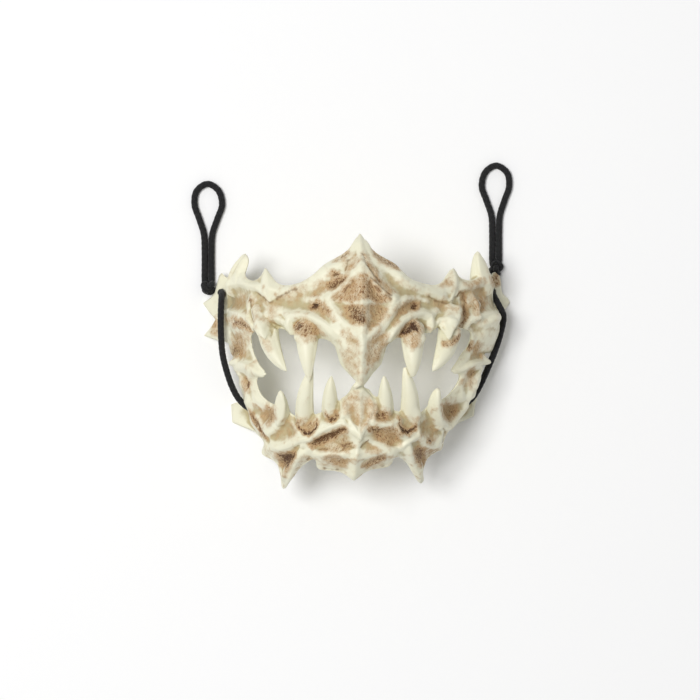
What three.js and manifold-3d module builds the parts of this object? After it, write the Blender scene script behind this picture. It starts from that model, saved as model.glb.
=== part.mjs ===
// A fanged half mask, cast in one piece of bone-coloured resin, with an elastic cord and an ear loop
// on each side. It lies on its hollow back: +Z points out of its face and +Y up the face to the nose spike.
// The origin is on the surface it lies on, under the middle of the casting. Millimetres.
import * as THREE from "three";
import { mergeVertices } from "three/addons/utils/BufferGeometryUtils.js";
import Module from "manifold-3d";

const wasm = await Module();
wasm.setup();

// The bent shell that everything grows from: half widths and depths at heights up the face
const HALF_WIDTHS = [
  [-68, 46], [-50, 53], [-40, 56], [-30, 58.5], [-20, 62], [-10, 65.5], [0, 68], [12, 69.5], [72, 71],
];
const DEPTHS = [[-68, 60], [-60, 67], [-48, 76], [-36, 81], [-15, 84], [12, 84], [40, 80], [60, 74], [72, 70]];
const SQUARENESS = 2.2;
const QUARTER_LENGTH = 122;
const WALL = 4.2;
const FACE_LOW = -72;
const FACE_HIGH = 72;

// Steps across and up the outer and the inner surface
const OUTER_STEPS = [62, 36];
const INNER_STEPS = [26, 12];

// The casting thins by this much over this width along its edges
const EDGE_WIDTH = 4.5;
const EDGE_DROP = 2.2;

// The nose and beak stand forward of the shell, by amounts at heights up the face
const NOSE = [[-13, 1], [-12, 6], [-6, 9], [10, 14], [32, 15], [50, 11], [62, 5], [70, 2]];
const NOSE_REACH = 34;
const NOSE_HOLLOW = 0.8;

// The jaw is cast a little askew: it leans aside, and one side sits higher than the other
const LEAN = [[-64, -3], [-30, -1], [0, 0]];
const TILT = [[-64, 0.04], [-20, 0.022], [0, 0.018], [30, 0.004], [70, 0]];

// The outline seen from the front, right half: along the rim from the nose spike, then the jaw to the chin
const RIM = [
  [0, 68.5], [6.9, 59.5], [19, 52.1], [20.8, 50.2], [26.1, 45.1], [35.2, 41.7], [41.2, 41.3], [44.8, 43.2],
  [47.2, 46.5], [50.4, 50], [52.5, 47.8], [54.7, 45], [57.8, 44.2], [61.7, 47.1], [62.3, 51.3], [61.6, 55.8],
  [63.2, 58.6], [67.7, 54.7], [70.8, 49.8], [72, 46], [96, 44],
];
const JAW_EDGE = [
  [96, -34], [66, -34], [58.2, -36.8], [52.2, -40], [49.5, -43.2], [50.2, -49.2], [44.6, -52.1], [41, -54.4],
  [39.5, -59.1], [37.7, -68.4], [32.7, -62.1], [29, -56.6], [25.4, -53.3], [21.6, -51.5], [20.3, -55.7],
  [18.7, -57.3], [7.9, -59], [0, -63.7],
];

// The right mouth opening, without the fangs that cross it: up the beak, round the cheek and down the jaw
const MOUTH = [
  [1.2, -11.7], [6.1, -6.5], [10.7, -1.2], [12.6, 4.6], [14.2, 8.9], [17.7, 11.7], [30, 14], [36, 15.5],
  [40, 17.4], [48, 19], [57.2, 16], [57.8, 12.4], [56.7, 6.3], [53.7, -0.2], [50.2, -6.1], [54.5, -8],
  [53.5, -13.7], [50.9, -18], [46, -21.5], [40, -23], [33, -28.5], [27, -28.5], [19.9, -26.5],
  [13, -24], [9.6, -19.3], [7.3, -17.7], [4.3, -14.2],
];

// How far in front of the surface it lies on the wall ends, at heights up the face
const BACK_EDGE = [
  [-80, 30], [-62, 26], [-44, 12], [-36, 3], [-22, 3], [-14, 15], [-6, 20], [0, 18], [8, 10], [13, 5],
  [34, 5], [39, 7], [47, 9], [56, 26], [80, 40],
];

// Sharp crests: places across and up the face with heights above the shell, and how far each one spreads
const CRESTS = [
  { at: [[0, 69, 3], [0, 51, 5], [0, 33, 5], [0, 11, 5], [0, -12, 4]], spread: 9 },
  { at: [[0, 51, 4], [4, 47, 4], [10, 39, 5], [16.5, 33, 6]], spread: 8 },
  { at: [[17.5, 30.6, 6], [15, 26, 6], [11.7, 18, 4], [6.4, 15.7, 4], [0, 11, 4]], spread: 8 },
  { at: [[25, 33, 3], [21.3, 31.7, 5], [17, 27, 5]], spread: 7 },
  { at: [[20.8, 49, 4], [26.6, 43, 5], [35.2, 39.6, 5], [43, 39, 5], [49.4, 40, 6], [50.4, 49, 4]],
    spread: 11 },
  { at: [[48.3, 32.6, 3], [49.6, 41, 6]], spread: 8 },
  { at: [[49.4, 41, 5], [57.8, 41.5, 4], [63, 46, 5]], spread: 8 },
  { at: [[63, 58.5, 3], [64.3, 51, 6], [66.6, 44, 6], [69, 41, 4]], spread: 9 },
  { at: [[69.6, 46, 3], [70, 38, 3], [69.6, 33, 3]], spread: 9 },
  { at: [[57.2, 36.6, 3], [58.4, 30.6, 5], [57.8, 23.6, 5], [54.4, 16, 4]], spread: 7 },
  { at: [[69.6, 26.2, 4], [68, 24, 6], [63.6, 22.1, 6], [58.9, 18.8, 5]], spread: 10 },
  { at: [[38.4, 15.8, 3], [40.6, 21.2, 5], [44, 24.5, 6], [48.3, 25.3, 6], [52.7, 23.5, 5]], spread: 8 },
  { at: [[36.8, 14.2, 4], [37.9, 19.6, 6], [35.7, 23.3, 6], [31, 25, 6], [24.4, 23.8, 6], [19, 20, 6],
    [15, 15.2, 5]], spread: 8 },
  { at: [[35.7, 23.3, 5], [41, 27, 4], [44, 24.5, 5]], spread: 7 },
  { at: [[50, -6, 3], [57.4, -3.4, 6], [64, -0.4, 6], [67.5, 0.4, 5]], spread: 9 },
  { at: [[68, 22, 4], [68.5, 12, 3], [67.5, 0.4, 4]], spread: 7 },
  { at: [[41.8, -17, 3], [42.4, -23.2, 5], [44.2, -31.4, 6], [48.3, -38.1, 6], [51.7, -34, 6], [55.1, -28.5, 6],
    [57, -20, 4], [61, -10, 4], [64, -2, 4]], spread: 8 },
  { at: [[48.3, -38.1, 5], [49.4, -48, 3]], spread: 7 },
  { at: [[48.3, -39.2, 5], [45, -46.3, 6], [38.8, -45.4, 6], [32.1, -40.9, 6]], spread: 8 },
  { at: [[37.5, -68, 3], [36.3, -62, 6], [33, -55, 6], [28.4, -49.5, 5], [24.1, -46, 5], [27.8, -42, 5],
    [31, -40.3, 5]], spread: 8 },
  { at: [[31, -40.3, 5], [24, -40.7, 5], [18.6, -35.3, 5], [10.6, -33.1, 5], [7, -33.1, 5]], spread: 6 },
  { at: [[9.5, -20, 4], [8.5, -26.7, 5], [7, -33.1, 5], [0, -40, 6]], spread: 6 },
  { at: [[21.4, -49.9, 5], [15, -48.7, 5], [7.5, -48.7, 5], [0, -48.1, 6]], spread: 7 },
  { at: [[0, -40, 5], [0, -52, 8], [0, -63.4, 4]], spread: 9 },
];

// Hollows between the crests: places across and up the face, depths, and half sizes across and up
const PITS = [
  [13, 41.5, 2.2, 5.5, 4.5], [26.6, 30.2, 1.2, 4, 3], [28.7, 16.5, 1.8, 5, 4], [66, 32, 1.5, 6, 6],
  [66, 7, 1.2, 5, 7], [50.4, -28.3, 1.6, 2.5, 4], [37.6, -36.5, 1.5, 5, 4], [37.8, -53.7, 2.2, 4.5, 5],
  [11, -40, 1.5, 4.5, 2.5], [20.2, -45, 1.5, 3.5, 2.5], [5, 24, 1.6, 4, 6],
];

// Fangs and cheek spikes, right side: the middle line, half widths at the root, and how full the taper is
const FANG = [2.2, 0.75];
const SPIKE = [1.2, 1];
const HORNS = [
  { name: "canine", root: [28.7, 19, 79], bend: [28.2, 8, 88], tip: [28, -7.6, 85], wide: 6.6, deep: 6,
    taper: FANG },
  { name: "outer fang", root: [47.5, 20, 66], bend: [47.5, 4, 76], tip: [39.4, -5.4, 77], wide: 6.6, deep: 5.5,
    taper: FANG },
  { name: "lower inner fang", root: [14.5, -30, 82], bend: [15.5, -17, 86], tip: [13.6, -7, 89], wide: 4.4,
    deep: 4.5, taper: FANG },
  { name: "lower canine", root: [28.5, -34, 74], bend: [29.5, -15, 83], tip: [23.3, -3.1, 84], wide: 5.4,
    deep: 5.5, taper: FANG },
  { name: "lower outer fang", root: [38.5, -28, 68], bend: [39.5, -21, 73], tip: [41.8, -15, 74], wide: 4.4,
    deep: 4, taper: FANG },
  { name: "cheek tooth", root: [60, 0, 50], bend: [55, -3, 59], tip: [49.6, -6.6, 64], wide: 6, deep: 5,
    taper: SPIKE },
  { name: "cheek spike", root: [63, 0, 32], bend: [68, 1, 29], tip: [74.2, -1, 24], wide: 6, deep: 6,
    taper: SPIKE },
];
const HORN_SIDES = 8;
const HORN_STEPS = 4;
const ROOT_ROUNDING = 0.12;
const ROOT_END = 0.55;

// Fins that flare from the wall's back edge, right side, as outlines; each slopes down to its outermost tip
const FIN_THICK = 4.5;
const FINS = [
  { outline: [[66, 44], [72.8, 47.5], [74.6, 49.6], [76.2, 47.8], [78.6, 38.3], [81.4, 35.5], [85.3, 32.8],
    [81.5, 27.5], [78.2, 23.8], [80.8, 19.5], [84.8, 15.2], [76.5, 12.4], [66, 11]], slope: 0.65, sunk: 1.5 },
  { outline: [[57, -18], [62, -20.5], [68.6, -22.6], [67.8, -32.6], [58, -36.6], [54.5, -38]], slope: 0.5,
    sunk: 1.4 },
];

// Elastic cord: its diameter, the hole left round it, and the routes of the left and right sides, hand laid.
// Each runs from the knot up through the fin, down outside the wall and in through the wall of the jaw.
const CORD = 3.5;
const CORD_HOLE = 4.3;
const CORD_SIDES = 8;
const LEFT_CORD = [
  [-78, 39.3, 2], [-76.4, 38.9, 3.2], [-75, 38.5, 6.4], [-74.5, 37.8, 10.5], [-74.6, 35.6, 14.5],
  [-74.8, 31.8, 17.2], [-75, 26, 18], [-74.9, 15, 18], [-74, 4, 18], [-71.9, -5, 17], [-68.6, -14.5, 14.8],
  [-65, -21, 12.8], [-60.5, -25.3, 11.4], [-56, -27.6, 10.8], [-53, -28.6, 10.6],
];
const RIGHT_CORD = [
  [77.4, 46.4, 2], [76.7, 43.2, 2.7], [76.3, 40.2, 5.8], [76.5, 38, 9.6], [77.5, 35.4, 13.4],
  [79.4, 31.4, 16], [81.9, 25.4, 17.4], [80.5, 16.5, 18], [77, 5.4, 18], [73.2, -4, 17], [69, -13.5, 14.8],
  [65, -20.3, 12.8], [60.3, -24.4, 11.4], [56, -26.6, 10.8], [52.4, -27.6, 10.6],
];
const CORD_STEPS = 25;

// The ear loops lie beside the brow: a knot each, and above it a drop-shaped loop from foot round to foot
const KNOT_RADIUS = 3.9;
const LEFT_KNOT = [-82.3, 41.2, KNOT_RADIUS];
const RIGHT_KNOT = [78.9, 51.8, KNOT_RADIUS];
const STOPPER_RADIUS = 3.4;
const GAP = 0.3;
const LOOP = [
  [1.95, 3.9], [1.9, 10], [1.9, 20], [2.4, 30], [5, 38.5], [7.6, 46.5], [6.4, 54], [0.4, 58], [-5.6, 54.5],
  [-7.8, 46.5], [-5.2, 38.5], [-2.4, 30], [-1.9, 20], [-1.9, 10], [-1.95, 3.9],
];
const LOOP_STEPS = 24;

const BONE = new THREE.MeshStandardMaterial({ name: "bone resin", color: 0xe6dfc0, roughness: 0.5 });
const ELASTIC = new THREE.MeshStandardMaterial({ name: "black elastic", color: 0x121212, roughness: 0.9 });

// Reads a table of pairs, easing between its rows
function between(table, place) {
  const next = table.findIndex(([at]) => at >= place);
  if (next === 0) return table[0][1];
  if (next < 0) return table[table.length - 1][1];
  const [a, low] = table[next - 1];
  const [b, high] = table[next];
  const share = (place - a) / (b - a);
  return low + (high - low) * share * share * (3 - 2 * share);
}

// The shell at a turn from -1 to 1 across the face and a height up it: the point and the way out of it
function shellAt(turn, y, inset) {
  const angle = (turn * Math.PI) / 2;
  const width = between(HALF_WIDTHS, y) - inset;
  const depth = between(DEPTHS, y) - inset;
  const across = Math.abs(Math.sin(angle)) ** (2 / SQUARENESS);
  const forward = Math.abs(Math.cos(angle)) ** (2 / SQUARENESS);
  const side = Math.sign(turn);
  const slope = SQUARENESS - 1;
  return {
    point: new THREE.Vector3(side * width * across, y, depth * forward),
    out: new THREE.Vector3((side * across ** slope) / width, 0, forward ** slope / depth).normalize(),
  };
}

// The turn at which the shell stands a given way across
function turnOf(x, y) {
  const share = Math.min(1, x / between(HALF_WIDTHS, y));
  return (2 / Math.PI) * Math.asin(share ** (SQUARENESS / 2));
}

// How far a place is from a straight stretch, and the share of the stretch that lies before the nearest point
function nearStretch(x, y, [ax, ay], [bx, by]) {
  const dx = bx - ax;
  const dy = by - ay;
  const share = Math.max(0, Math.min(1, ((x - ax) * dx + (y - ay) * dy) / (dx * dx + dy * dy)));
  return { share, far: Math.hypot(x - ax - share * dx, y - ay - share * dy) };
}

// The crests as straight stretches on the flattened shell
const stretches = CRESTS.flatMap(({ at, spread }) => {
  const flat = at.map(([x, y, height]) => [turnOf(x, y) * QUARTER_LENGTH, y, height]);
  return flat.slice(1).map((to, i) => ({ from: flat[i], to, spread }));
});

function distanceToOutlines(x, y) {
  let least = Infinity;
  for (const outline of [[...RIM, ...JAW_EDGE], [...MOUTH, MOUTH[0]]]) {
    for (let i = 1; i < outline.length; i++) {
      least = Math.min(least, nearStretch(x, y, outline[i - 1], outline[i]).far);
    }
  }
  return least;
}

// How far the nose and beak stand forward
function noseAt(x, y) {
  return between(NOSE, y) * Math.max(0, 1 - Math.abs(x) / NOSE_REACH) ** 1.3;
}

// The nose is hollow behind, following its front at a lesser depth
const hollowNose = (turn, x, y) => NOSE_HOLLOW * noseAt(x, y);

// How far the outer surface stands out of the shell
function relief(turn, x, y) {
  const along = Math.abs(turn) * QUARTER_LENGTH;
  const across = Math.abs(x);
  let crest = 0;
  for (const { from, to, spread } of stretches) {
    const { share, far } = nearStretch(along, y, from, to);
    const height = from[2] + (to[2] - from[2]) * share;
    crest = Math.max(crest, height * Math.max(0, 1 - far / spread) ** 1.4);
  }
  let hollow = 0;
  for (const [pitX, pitY, depth, wide, tall] of PITS) {
    hollow = Math.max(hollow, depth * Math.exp(-(((across - pitX) / wide) ** 2) - ((y - pitY) / tall) ** 2));
  }
  const thinning = EDGE_DROP * Math.max(0, 1 - distanceToOutlines(across, y) / EDGE_WIDTH) ** 1.5;
  return crest + noseAt(x, y) - hollow - thinning;
}

// A geometry as a solid
function solid(geometry) {
  geometry.deleteAttribute("normal");
  geometry.deleteAttribute("uv");
  const merged = mergeVertices(geometry, 1e-4);
  return new wasm.Manifold(
    new wasm.Mesh({
      numProp: 3,
      vertProperties: new Float32Array(merged.attributes.position.array),
      triVerts: new Uint32Array(merged.index.array),
    }),
  );
}

// A geometry of the casting as a solid, with the jaw set askew
function cast(geometry) {
  const position = geometry.attributes.position;
  for (let i = 0; i < position.count; i++) {
    const x = position.getX(i);
    const y = position.getY(i);
    position.setXY(i, x + between(LEAN, y), y + x * between(TILT, y));
  }
  return solid(geometry);
}

// A place on the flattened shell, moved onto a crest that passes within reach
function ontoCrest(turn, y, reach) {
  const along = Math.abs(turn) * QUARTER_LENGTH;
  let least = reach;
  let place = { turn, y };
  if (turn === 0) return place;
  for (const { from, to } of stretches) {
    const { share, far } = nearStretch(along, y, from, to);
    if (far >= least) continue;
    least = far;
    const across = (from[0] + (to[0] - from[0]) * share) / QUARTER_LENGTH;
    place = { turn: Math.sign(turn) * across, y: from[1] + (to[1] - from[1]) * share };
  }
  return place;
}

// A block whose top stands off the shell by a function, and which reaches down to a floor
function dome([stepsAcross, stepsUp], inset, floor, beyond, standOff) {
  const geometry = new THREE.BoxGeometry(2, 2, 1, stepsAcross, stepsUp, 1);
  const position = geometry.attributes.position;
  const half = (FACE_HIGH - FACE_LOW) / 2 + beyond;
  const middle = (FACE_HIGH + FACE_LOW) / 2;
  const showsCrests = standOff === relief;
  const places = [];
  for (let i = 0; i < position.count; i++) {
    const onSide = Math.max(Math.abs(position.getX(i)), Math.abs(position.getY(i))) > 0.99;
    const reach = showsCrests && !onSide ? half / stepsUp : 0;
    const place = ontoCrest(position.getX(i), middle + position.getY(i) * half, reach);
    const { point, out } = shellAt(place.turn, place.y, inset);
    point.addScaledVector(out, standOff(place.turn, point.x, place.y));
    places.push(position.getZ(i) > 0 ? place : null);
    position.setXYZ(i, point.x, place.y, position.getZ(i) > 0 ? point.z : floor);
  }
  if (showsCrests) turnDiagonals(geometry, places, inset, standOff);
  return cast(geometry);
}

// Splits each quad of the top along the diagonal that lies nearer the surface, so that crests stay sharp
function turnDiagonals(geometry, places, inset, standOff) {
  const { index, attributes } = geometry;
  const corner = (i) => new THREE.Vector3().fromBufferAttribute(attributes.position, i);
  const missOf = (i, j) => {
    const turn = (places[i].turn + places[j].turn) / 2;
    const y = (places[i].y + places[j].y) / 2;
    const { point, out } = shellAt(turn, y, inset);
    point.addScaledVector(out, standOff(turn, point.x, y));
    return corner(i).add(corner(j)).multiplyScalar(0.5).distanceTo(point);
  };
  for (let k = 0; k < index.count; k += 6) {
    const [a, b, d, c] = [0, 1, 2, 4].map((step) => index.getX(k + step));
    if (![a, b, c, d].every((i) => places[i])) continue;
    if (missOf(a, c) < missOf(b, d)) [a, b, c, a, c, d].forEach((i, step) => index.setX(k + step, i));
  }
}

const mirrored = (half) => half.map(([x, y]) => [-x, y]);

// A column along Z over a closed outline
function column(outline, low, high) {
  const shape = new THREE.Shape(outline.map(([x, y]) => new THREE.Vector2(x, y)));
  return new THREE.ExtrudeGeometry(shape, { depth: high - low, bevelEnabled: false }).translate(0, 0, low);
}

// The space in front of the wall's back edge, as a column along X
function aheadOfBack() {
  const outline = [...BACK_EDGE, [80, 160], [-80, 160]];
  const turned = new THREE.Matrix4().makeBasis(
    new THREE.Vector3(0, 1, 0), new THREE.Vector3(0, 0, 1), new THREE.Vector3(1, 0, 0),
  );
  return column(outline, -120, 120).applyMatrix4(turned);
}

// A bent horn that tapers to its tip; wide is its half width seen from the front
function horn({ root, bend, tip, wide, deep, taper }, side) {
  const spine = new THREE.QuadraticBezierCurve3(
    ...[root, bend, tip].map(([x, y, z]) => new THREE.Vector3(x * side, y, z)),
  );
  const profile = [new THREE.Vector2(0, 0), new THREE.Vector2(ROOT_END, 0)];
  for (let step = 0; step < HORN_STEPS; step++) {
    const share = ROOT_ROUNDING + ((1 - ROOT_ROUNDING) * step) / HORN_STEPS;
    profile.push(new THREE.Vector2((1 - share ** taper[0]) ** taper[1], share));
  }
  profile.push(new THREE.Vector2(0, 1));
  const geometry = new THREE.LatheGeometry(profile, HORN_SIDES);
  const position = geometry.attributes.position;
  for (let i = 0; i < position.count; i++) {
    const along = spine.getTangent(position.getY(i));
    const across = new THREE.Vector3(-along.y, along.x, 0).normalize();
    const forward = new THREE.Vector3().crossVectors(across, along);
    const point = spine.getPoint(position.getY(i));
    point.addScaledVector(across, position.getX(i) * wide);
    point.addScaledVector(forward, position.getZ(i) * deep);
    position.setXYZ(i, point.x, point.y, point.z);
  }
  return cast(geometry);
}

// A fin whose faces slope down to its outermost tip, which is sunk a little below the surface it lies on
function fin({ outline, slope, sunk }, side) {
  const geometry = column(side > 0 ? outline : mirrored(outline), 0, FIN_THICK);
  const position = geometry.attributes.position;
  const tip = Math.max(...outline.map(([x]) => x));
  for (let i = 0; i < position.count; i++) {
    position.setZ(i, position.getZ(i) + (tip - Math.abs(position.getX(i))) * slope - sunk);
  }
  return cast(geometry);
}

// A smooth curve through hand-laid points
function curveThrough(points) {
  return new THREE.CatmullRomCurve3(points.map((point) => new THREE.Vector3(...point)));
}

// A round tube along a curve
function tube(curve, diameter, steps) {
  const section = new THREE.Shape(
    Array.from({ length: CORD_SIDES }, (_, i) => {
      const angle = (2 * Math.PI * i) / CORD_SIDES;
      return new THREE.Vector2((diameter / 2) * Math.cos(angle), (diameter / 2) * Math.sin(angle));
    }),
  );
  return new THREE.ExtrudeGeometry(section, { steps, extrudePath: curve });
}

function buildMask() {
  let made = dome(OUTER_STEPS, 0, -12, 0, relief).subtract(dome(INNER_STEPS, WALL, -20, 10, hollowNose));
  const outline = [...RIM, ...JAW_EDGE];
  const otherHalf = mirrored(outline.slice(1, -1)).reverse();
  made = made.intersect(cast(column([...outline, ...otherHalf], -30, 160)));
  made = made.subtract(cast(column(MOUTH, -30, 160))).subtract(cast(column(mirrored(MOUTH), -30, 160)));
  made = made.intersect(solid(aheadOfBack()));
  for (const side of [1, -1]) {
    for (const shape of HORNS) made = made.add(horn(shape, side));
    for (const shape of FINS) made = made.add(fin(shape, side));
  }
  for (const route of [LEFT_CORD, RIGHT_CORD]) {
    made = made.subtract(solid(tube(curveThrough(route), CORD_HOLE, CORD_STEPS)));
  }
  const above = new THREE.BoxGeometry(400, 400, 200).translate(0, 0, 100);
  return made.intersect(solid(above));
}

function meshOf(made, name, material) {
  const { vertProperties, triVerts } = made.getMesh();
  const geometry = new THREE.BufferGeometry();
  geometry.setAttribute("position", new THREE.BufferAttribute(new Float32Array(vertProperties), 3));
  geometry.setIndex(new THREE.BufferAttribute(new Uint32Array(triVerts), 1));
  geometry.computeVertexNormals();
  return named(geometry, name, material);
}

function named(geometry, name, material) {
  const mesh = new THREE.Mesh(geometry, material);
  mesh.name = name;
  return mesh;
}

function knot(radius, [x, y, z], name) {
  const mesh = named(new THREE.SphereGeometry(radius, 10, 6), name, ELASTIC);
  mesh.position.set(x, y, z);
  return mesh;
}

// The cord, its ear loop and their two knots on one side
function cordOf(side, route, knotAt) {
  const group = new THREE.Group();
  const outward = Math.sign(knotAt[0]);
  const loop = LOOP.map(([x, y]) => [knotAt[0] + outward * x, knotAt[1] + y, CORD / 2 + 0.15]);
  group.add(named(tube(curveThrough(route), CORD, CORD_STEPS), `side_cord_${side}`, ELASTIC));
  group.add(named(tube(curveThrough(loop), CORD, LOOP_STEPS), `ear_loop_${side}`, ELASTIC));
  group.add(knot(KNOT_RADIUS, knotAt, `ear_knot_${side}`));
  const curve = curveThrough(route);
  const stopper = curve.getPoint(1).addScaledVector(curve.getTangent(1), STOPPER_RADIUS + GAP);
  group.add(knot(STOPPER_RADIUS, stopper.toArray(), `stopper_knot_${side}`));
  return group;
}

const mask = buildMask();
const whole = new THREE.Group();
whole.add(meshOf(mask, "mask", BONE));
whole.add(cordOf("left", LEFT_CORD, LEFT_KNOT));
whole.add(cordOf("right", RIGHT_CORD, RIGHT_KNOT));

// The origin goes under the middle of the casting
const { min, max } = mask.boundingBox();
whole.position.set(-(min[0] + max[0]) / 2, -(min[1] + max[1]) / 2, 0);

export default whole;
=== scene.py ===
# %% [markdown]
# # A fanged half mask, cast in bone-coloured resin
#
# The mask lies on its hollow back on a pale floor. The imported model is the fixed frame: it says
# where everything is, in metres, with +Z out of the face and +Y up it. Each cell below makes one
# thing: first the camera and the cords, then the fine casting, then its stain, and last the floor
# and the light.

# %% Load the frame
import math

import bmesh
import bpy
import numpy as np
from mathutils import Matrix, Vector, noise


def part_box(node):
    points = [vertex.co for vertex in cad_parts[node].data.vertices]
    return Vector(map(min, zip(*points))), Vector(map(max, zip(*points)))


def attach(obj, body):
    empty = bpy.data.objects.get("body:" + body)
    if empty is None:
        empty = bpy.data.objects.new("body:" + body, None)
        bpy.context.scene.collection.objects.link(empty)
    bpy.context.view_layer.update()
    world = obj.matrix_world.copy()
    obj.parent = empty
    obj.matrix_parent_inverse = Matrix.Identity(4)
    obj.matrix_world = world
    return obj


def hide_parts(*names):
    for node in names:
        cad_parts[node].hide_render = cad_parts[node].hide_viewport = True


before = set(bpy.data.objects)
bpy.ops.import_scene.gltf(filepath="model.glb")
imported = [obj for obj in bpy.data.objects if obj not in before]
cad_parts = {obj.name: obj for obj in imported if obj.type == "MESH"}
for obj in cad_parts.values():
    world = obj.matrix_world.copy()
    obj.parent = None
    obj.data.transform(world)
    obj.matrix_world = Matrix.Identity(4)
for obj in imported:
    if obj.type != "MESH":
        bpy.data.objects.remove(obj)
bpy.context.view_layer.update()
scene = bpy.context.scene
MM = 0.001
print("nodes:", ", ".join(sorted(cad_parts)))

# %% [markdown]
# ## Camera
#
# The photograph is taken from about a metre and a half, straight at the face and a touch from one
# side. The mask lies down here, so the same view looks down on it. A camera could be aimed with a
# constraint, but three axes written out as a matrix are exact and leave nothing to solve.

# %% Aim the camera
LENS = 143
SENSOR = 36
DISTANCE = 1.5
FURTHEST = 20
LOOK_AT = Vector((-0.0049, 0.0070, 0.0600))
SIDE_ANGLE = math.radians(2)
PHOTO_SIZE = 700

back = Vector((-math.sin(SIDE_ANGLE), 0, math.cos(SIDE_ANGLE)))
up = Vector((0, 1, 0))
right = up.cross(back)
eye = LOOK_AT + back * DISTANCE
camera = bpy.data.objects.new("camera", bpy.data.cameras.new("camera"))
camera.data.lens = LENS
camera.data.sensor_width = SENSOR
camera.data.clip_end = FURTHEST
camera.matrix_world = Matrix.Translation(eye) @ Matrix((right, up, back)).transposed().to_4x4()
scene.collection.objects.link(camera)
scene.camera = camera


def seen(points):
    """Where points, in metres, show in the photograph's frame: pixels across and down"""
    away = np.asarray(points) - np.array(LOOK_AT)
    scale = LENS / SENSOR * PHOTO_SIZE / (DISTANCE - away @ np.array(back))
    middle = PHOTO_SIZE / 2
    return middle + away @ np.array(right) * scale, middle - away @ np.array(up) * scale


def place_seen(across, down, height):
    """The place at a height, in mm, that shows at a pixel of the photograph"""
    aside = right * (across - PHOTO_SIZE / 2) + up * (PHOTO_SIZE / 2 - down)
    ray = -back + aside * (SENSOR / LENS / PHOTO_SIZE)
    return eye + ray * ((height * MM - eye.z) / ray.z)


print("a pixel at mid-depth is", round(DISTANCE / (LENS / SENSOR * PHOTO_SIZE) / MM, 3), "mm")

# %% [markdown]
# ## Small helpers
#
# A bmesh is a mesh that can be edited. When it is done it becomes a mesh datablock on an object at
# the origin. A modifier is baked in by reading the evaluated object back, which needs no operator
# and no selection.

# %% Helpers for objects
def as_object(name, shape):
    """A smooth object from a bmesh, which is freed"""
    mesh = bpy.data.meshes.new(name)
    shape.to_mesh(mesh)
    shape.free()
    mesh.shade_smooth()
    made = bpy.data.objects.new(name, mesh)
    scene.collection.objects.link(made)
    return made


def open_edges(shape):
    """The edges of a bmesh that have a face on one side only"""
    return [edge for edge in shape.edges if edge.is_boundary]


def corners_in(grown):
    """The corners among what an operator made"""
    return [part for part in grown if isinstance(part, bmesh.types.BMVert)]


def settle(made):
    """Bakes the modifiers of an object into its mesh"""
    before = made.data
    evaluated = made.evaluated_get(bpy.context.evaluated_depsgraph_get())
    made.data = bpy.data.meshes.new_from_object(evaluated)
    made.modifiers.clear()
    bpy.data.meshes.remove(before)


def soften(made, share, times):
    """Moves each corner a share of the way to the middle of its neighbours, some times over"""
    even = made.modifiers.new("even", "SMOOTH")
    even.factor = share
    even.iterations = times


def combine(body, tool, operation):
    """Joins a tool to a body, cuts it off, or keeps what both share"""
    change = body.modifiers.new(operation, "BOOLEAN")
    change.object = tool
    change.operation = operation
    change.solver = "MANIFOLD"
    settle(body)
    bpy.data.objects.remove(tool)
    return body


def corners_of(mesh, kind="co"):
    """The corners of a mesh, or their normals, as rows of x, y, z"""
    rows = np.empty(len(mesh.vertices) * 3, np.float32)
    if kind == "co":
        mesh.vertices.foreach_get("co", rows)
    else:
        mesh.vertex_normals.foreach_get("vector", rows)
    return rows.reshape(-1, 3).astype(float)


def place_corners(mesh, rows):
    """Puts the corners of a mesh in their places"""
    mesh.vertices.foreach_set("co", rows.astype(np.float32).ravel())
    mesh.update()


def press_flat(mesh):
    """Presses what reaches below the floor flat on it"""
    rows = corners_of(mesh)
    rows[:, 2] = np.maximum(rows[:, 2], 0)
    place_corners(mesh, rows)


# %% [markdown]
# ## Cords
#
# Each side has one limp black elastic: an ear loop that ends in a knot, and a run that goes up
# through the rear fin, down outside the wall and in through the jaw to a stopper knot. A curve
# with a round bevel would give the route, but not the braid. So a ring of corners is extruded step
# by step along the route, and each ring bulges where a strand of the braid lies on top.

# %% Routes of the cords, in metres
CORD = 3.5 * MM
SHIFT = Vector((0, 0.704 * MM, 0))
LEFT_RUN = [
    (-80.6, 40.3, 2.6), (-78, 39.3, 2), (-76.4, 38.9, 3.2), (-75, 38.5, 6.4), (-74.5, 37.8, 10.5),
    (-74.6, 35.6, 14.5), (-74.8, 31.8, 17.2), (-75, 26, 18), (-74.9, 15, 18), (-74, 4, 18),
    (-71.9, -5, 17), (-68.6, -14.5, 14.8), (-65, -21, 12.8), (-60.5, -25.3, 11.4),
    (-56, -27.6, 10.8), (-53, -28.6, 10.6),
]
RIGHT_RUN = [
    (78.3, 49.6, 2.6), (77.4, 46.4, 2), (76.7, 43.2, 2.7), (76.3, 40.2, 5.8), (76.5, 38, 9.6),
    (77.5, 35.4, 13.4), (79.4, 31.4, 16), (81.9, 25.4, 17.4), (80.5, 16.5, 18), (77, 5.4, 18),
    (73.2, -4, 17), (69, -13.5, 14.8), (65, -20.3, 12.8), (60.3, -24.4, 11.4), (56, -26.6, 10.8),
    (52.4, -27.6, 10.6),
]
LEFT_KNOT = (-82.3, 41.2, 3.9)
RIGHT_KNOT = (78.9, 51.8, 3.9)
LOOP = [
    (1.1, 0.8), (1.85, 4), (1.9, 10), (1.9, 20), (2.4, 30), (5, 38.5), (7.6, 46.5), (6.4, 54),
    (0.4, 58), (-5.6, 54.5), (-7.8, 46.5), (-5.2, 38.5), (-2.4, 30), (-1.9, 20), (-1.9, 10),
    (-1.85, 4), (-1.1, 0.8),
]
LOOP_HEIGHT = 1.9
STRETCH_STEPS = 12
ROUGH_STEPS = 200


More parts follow.
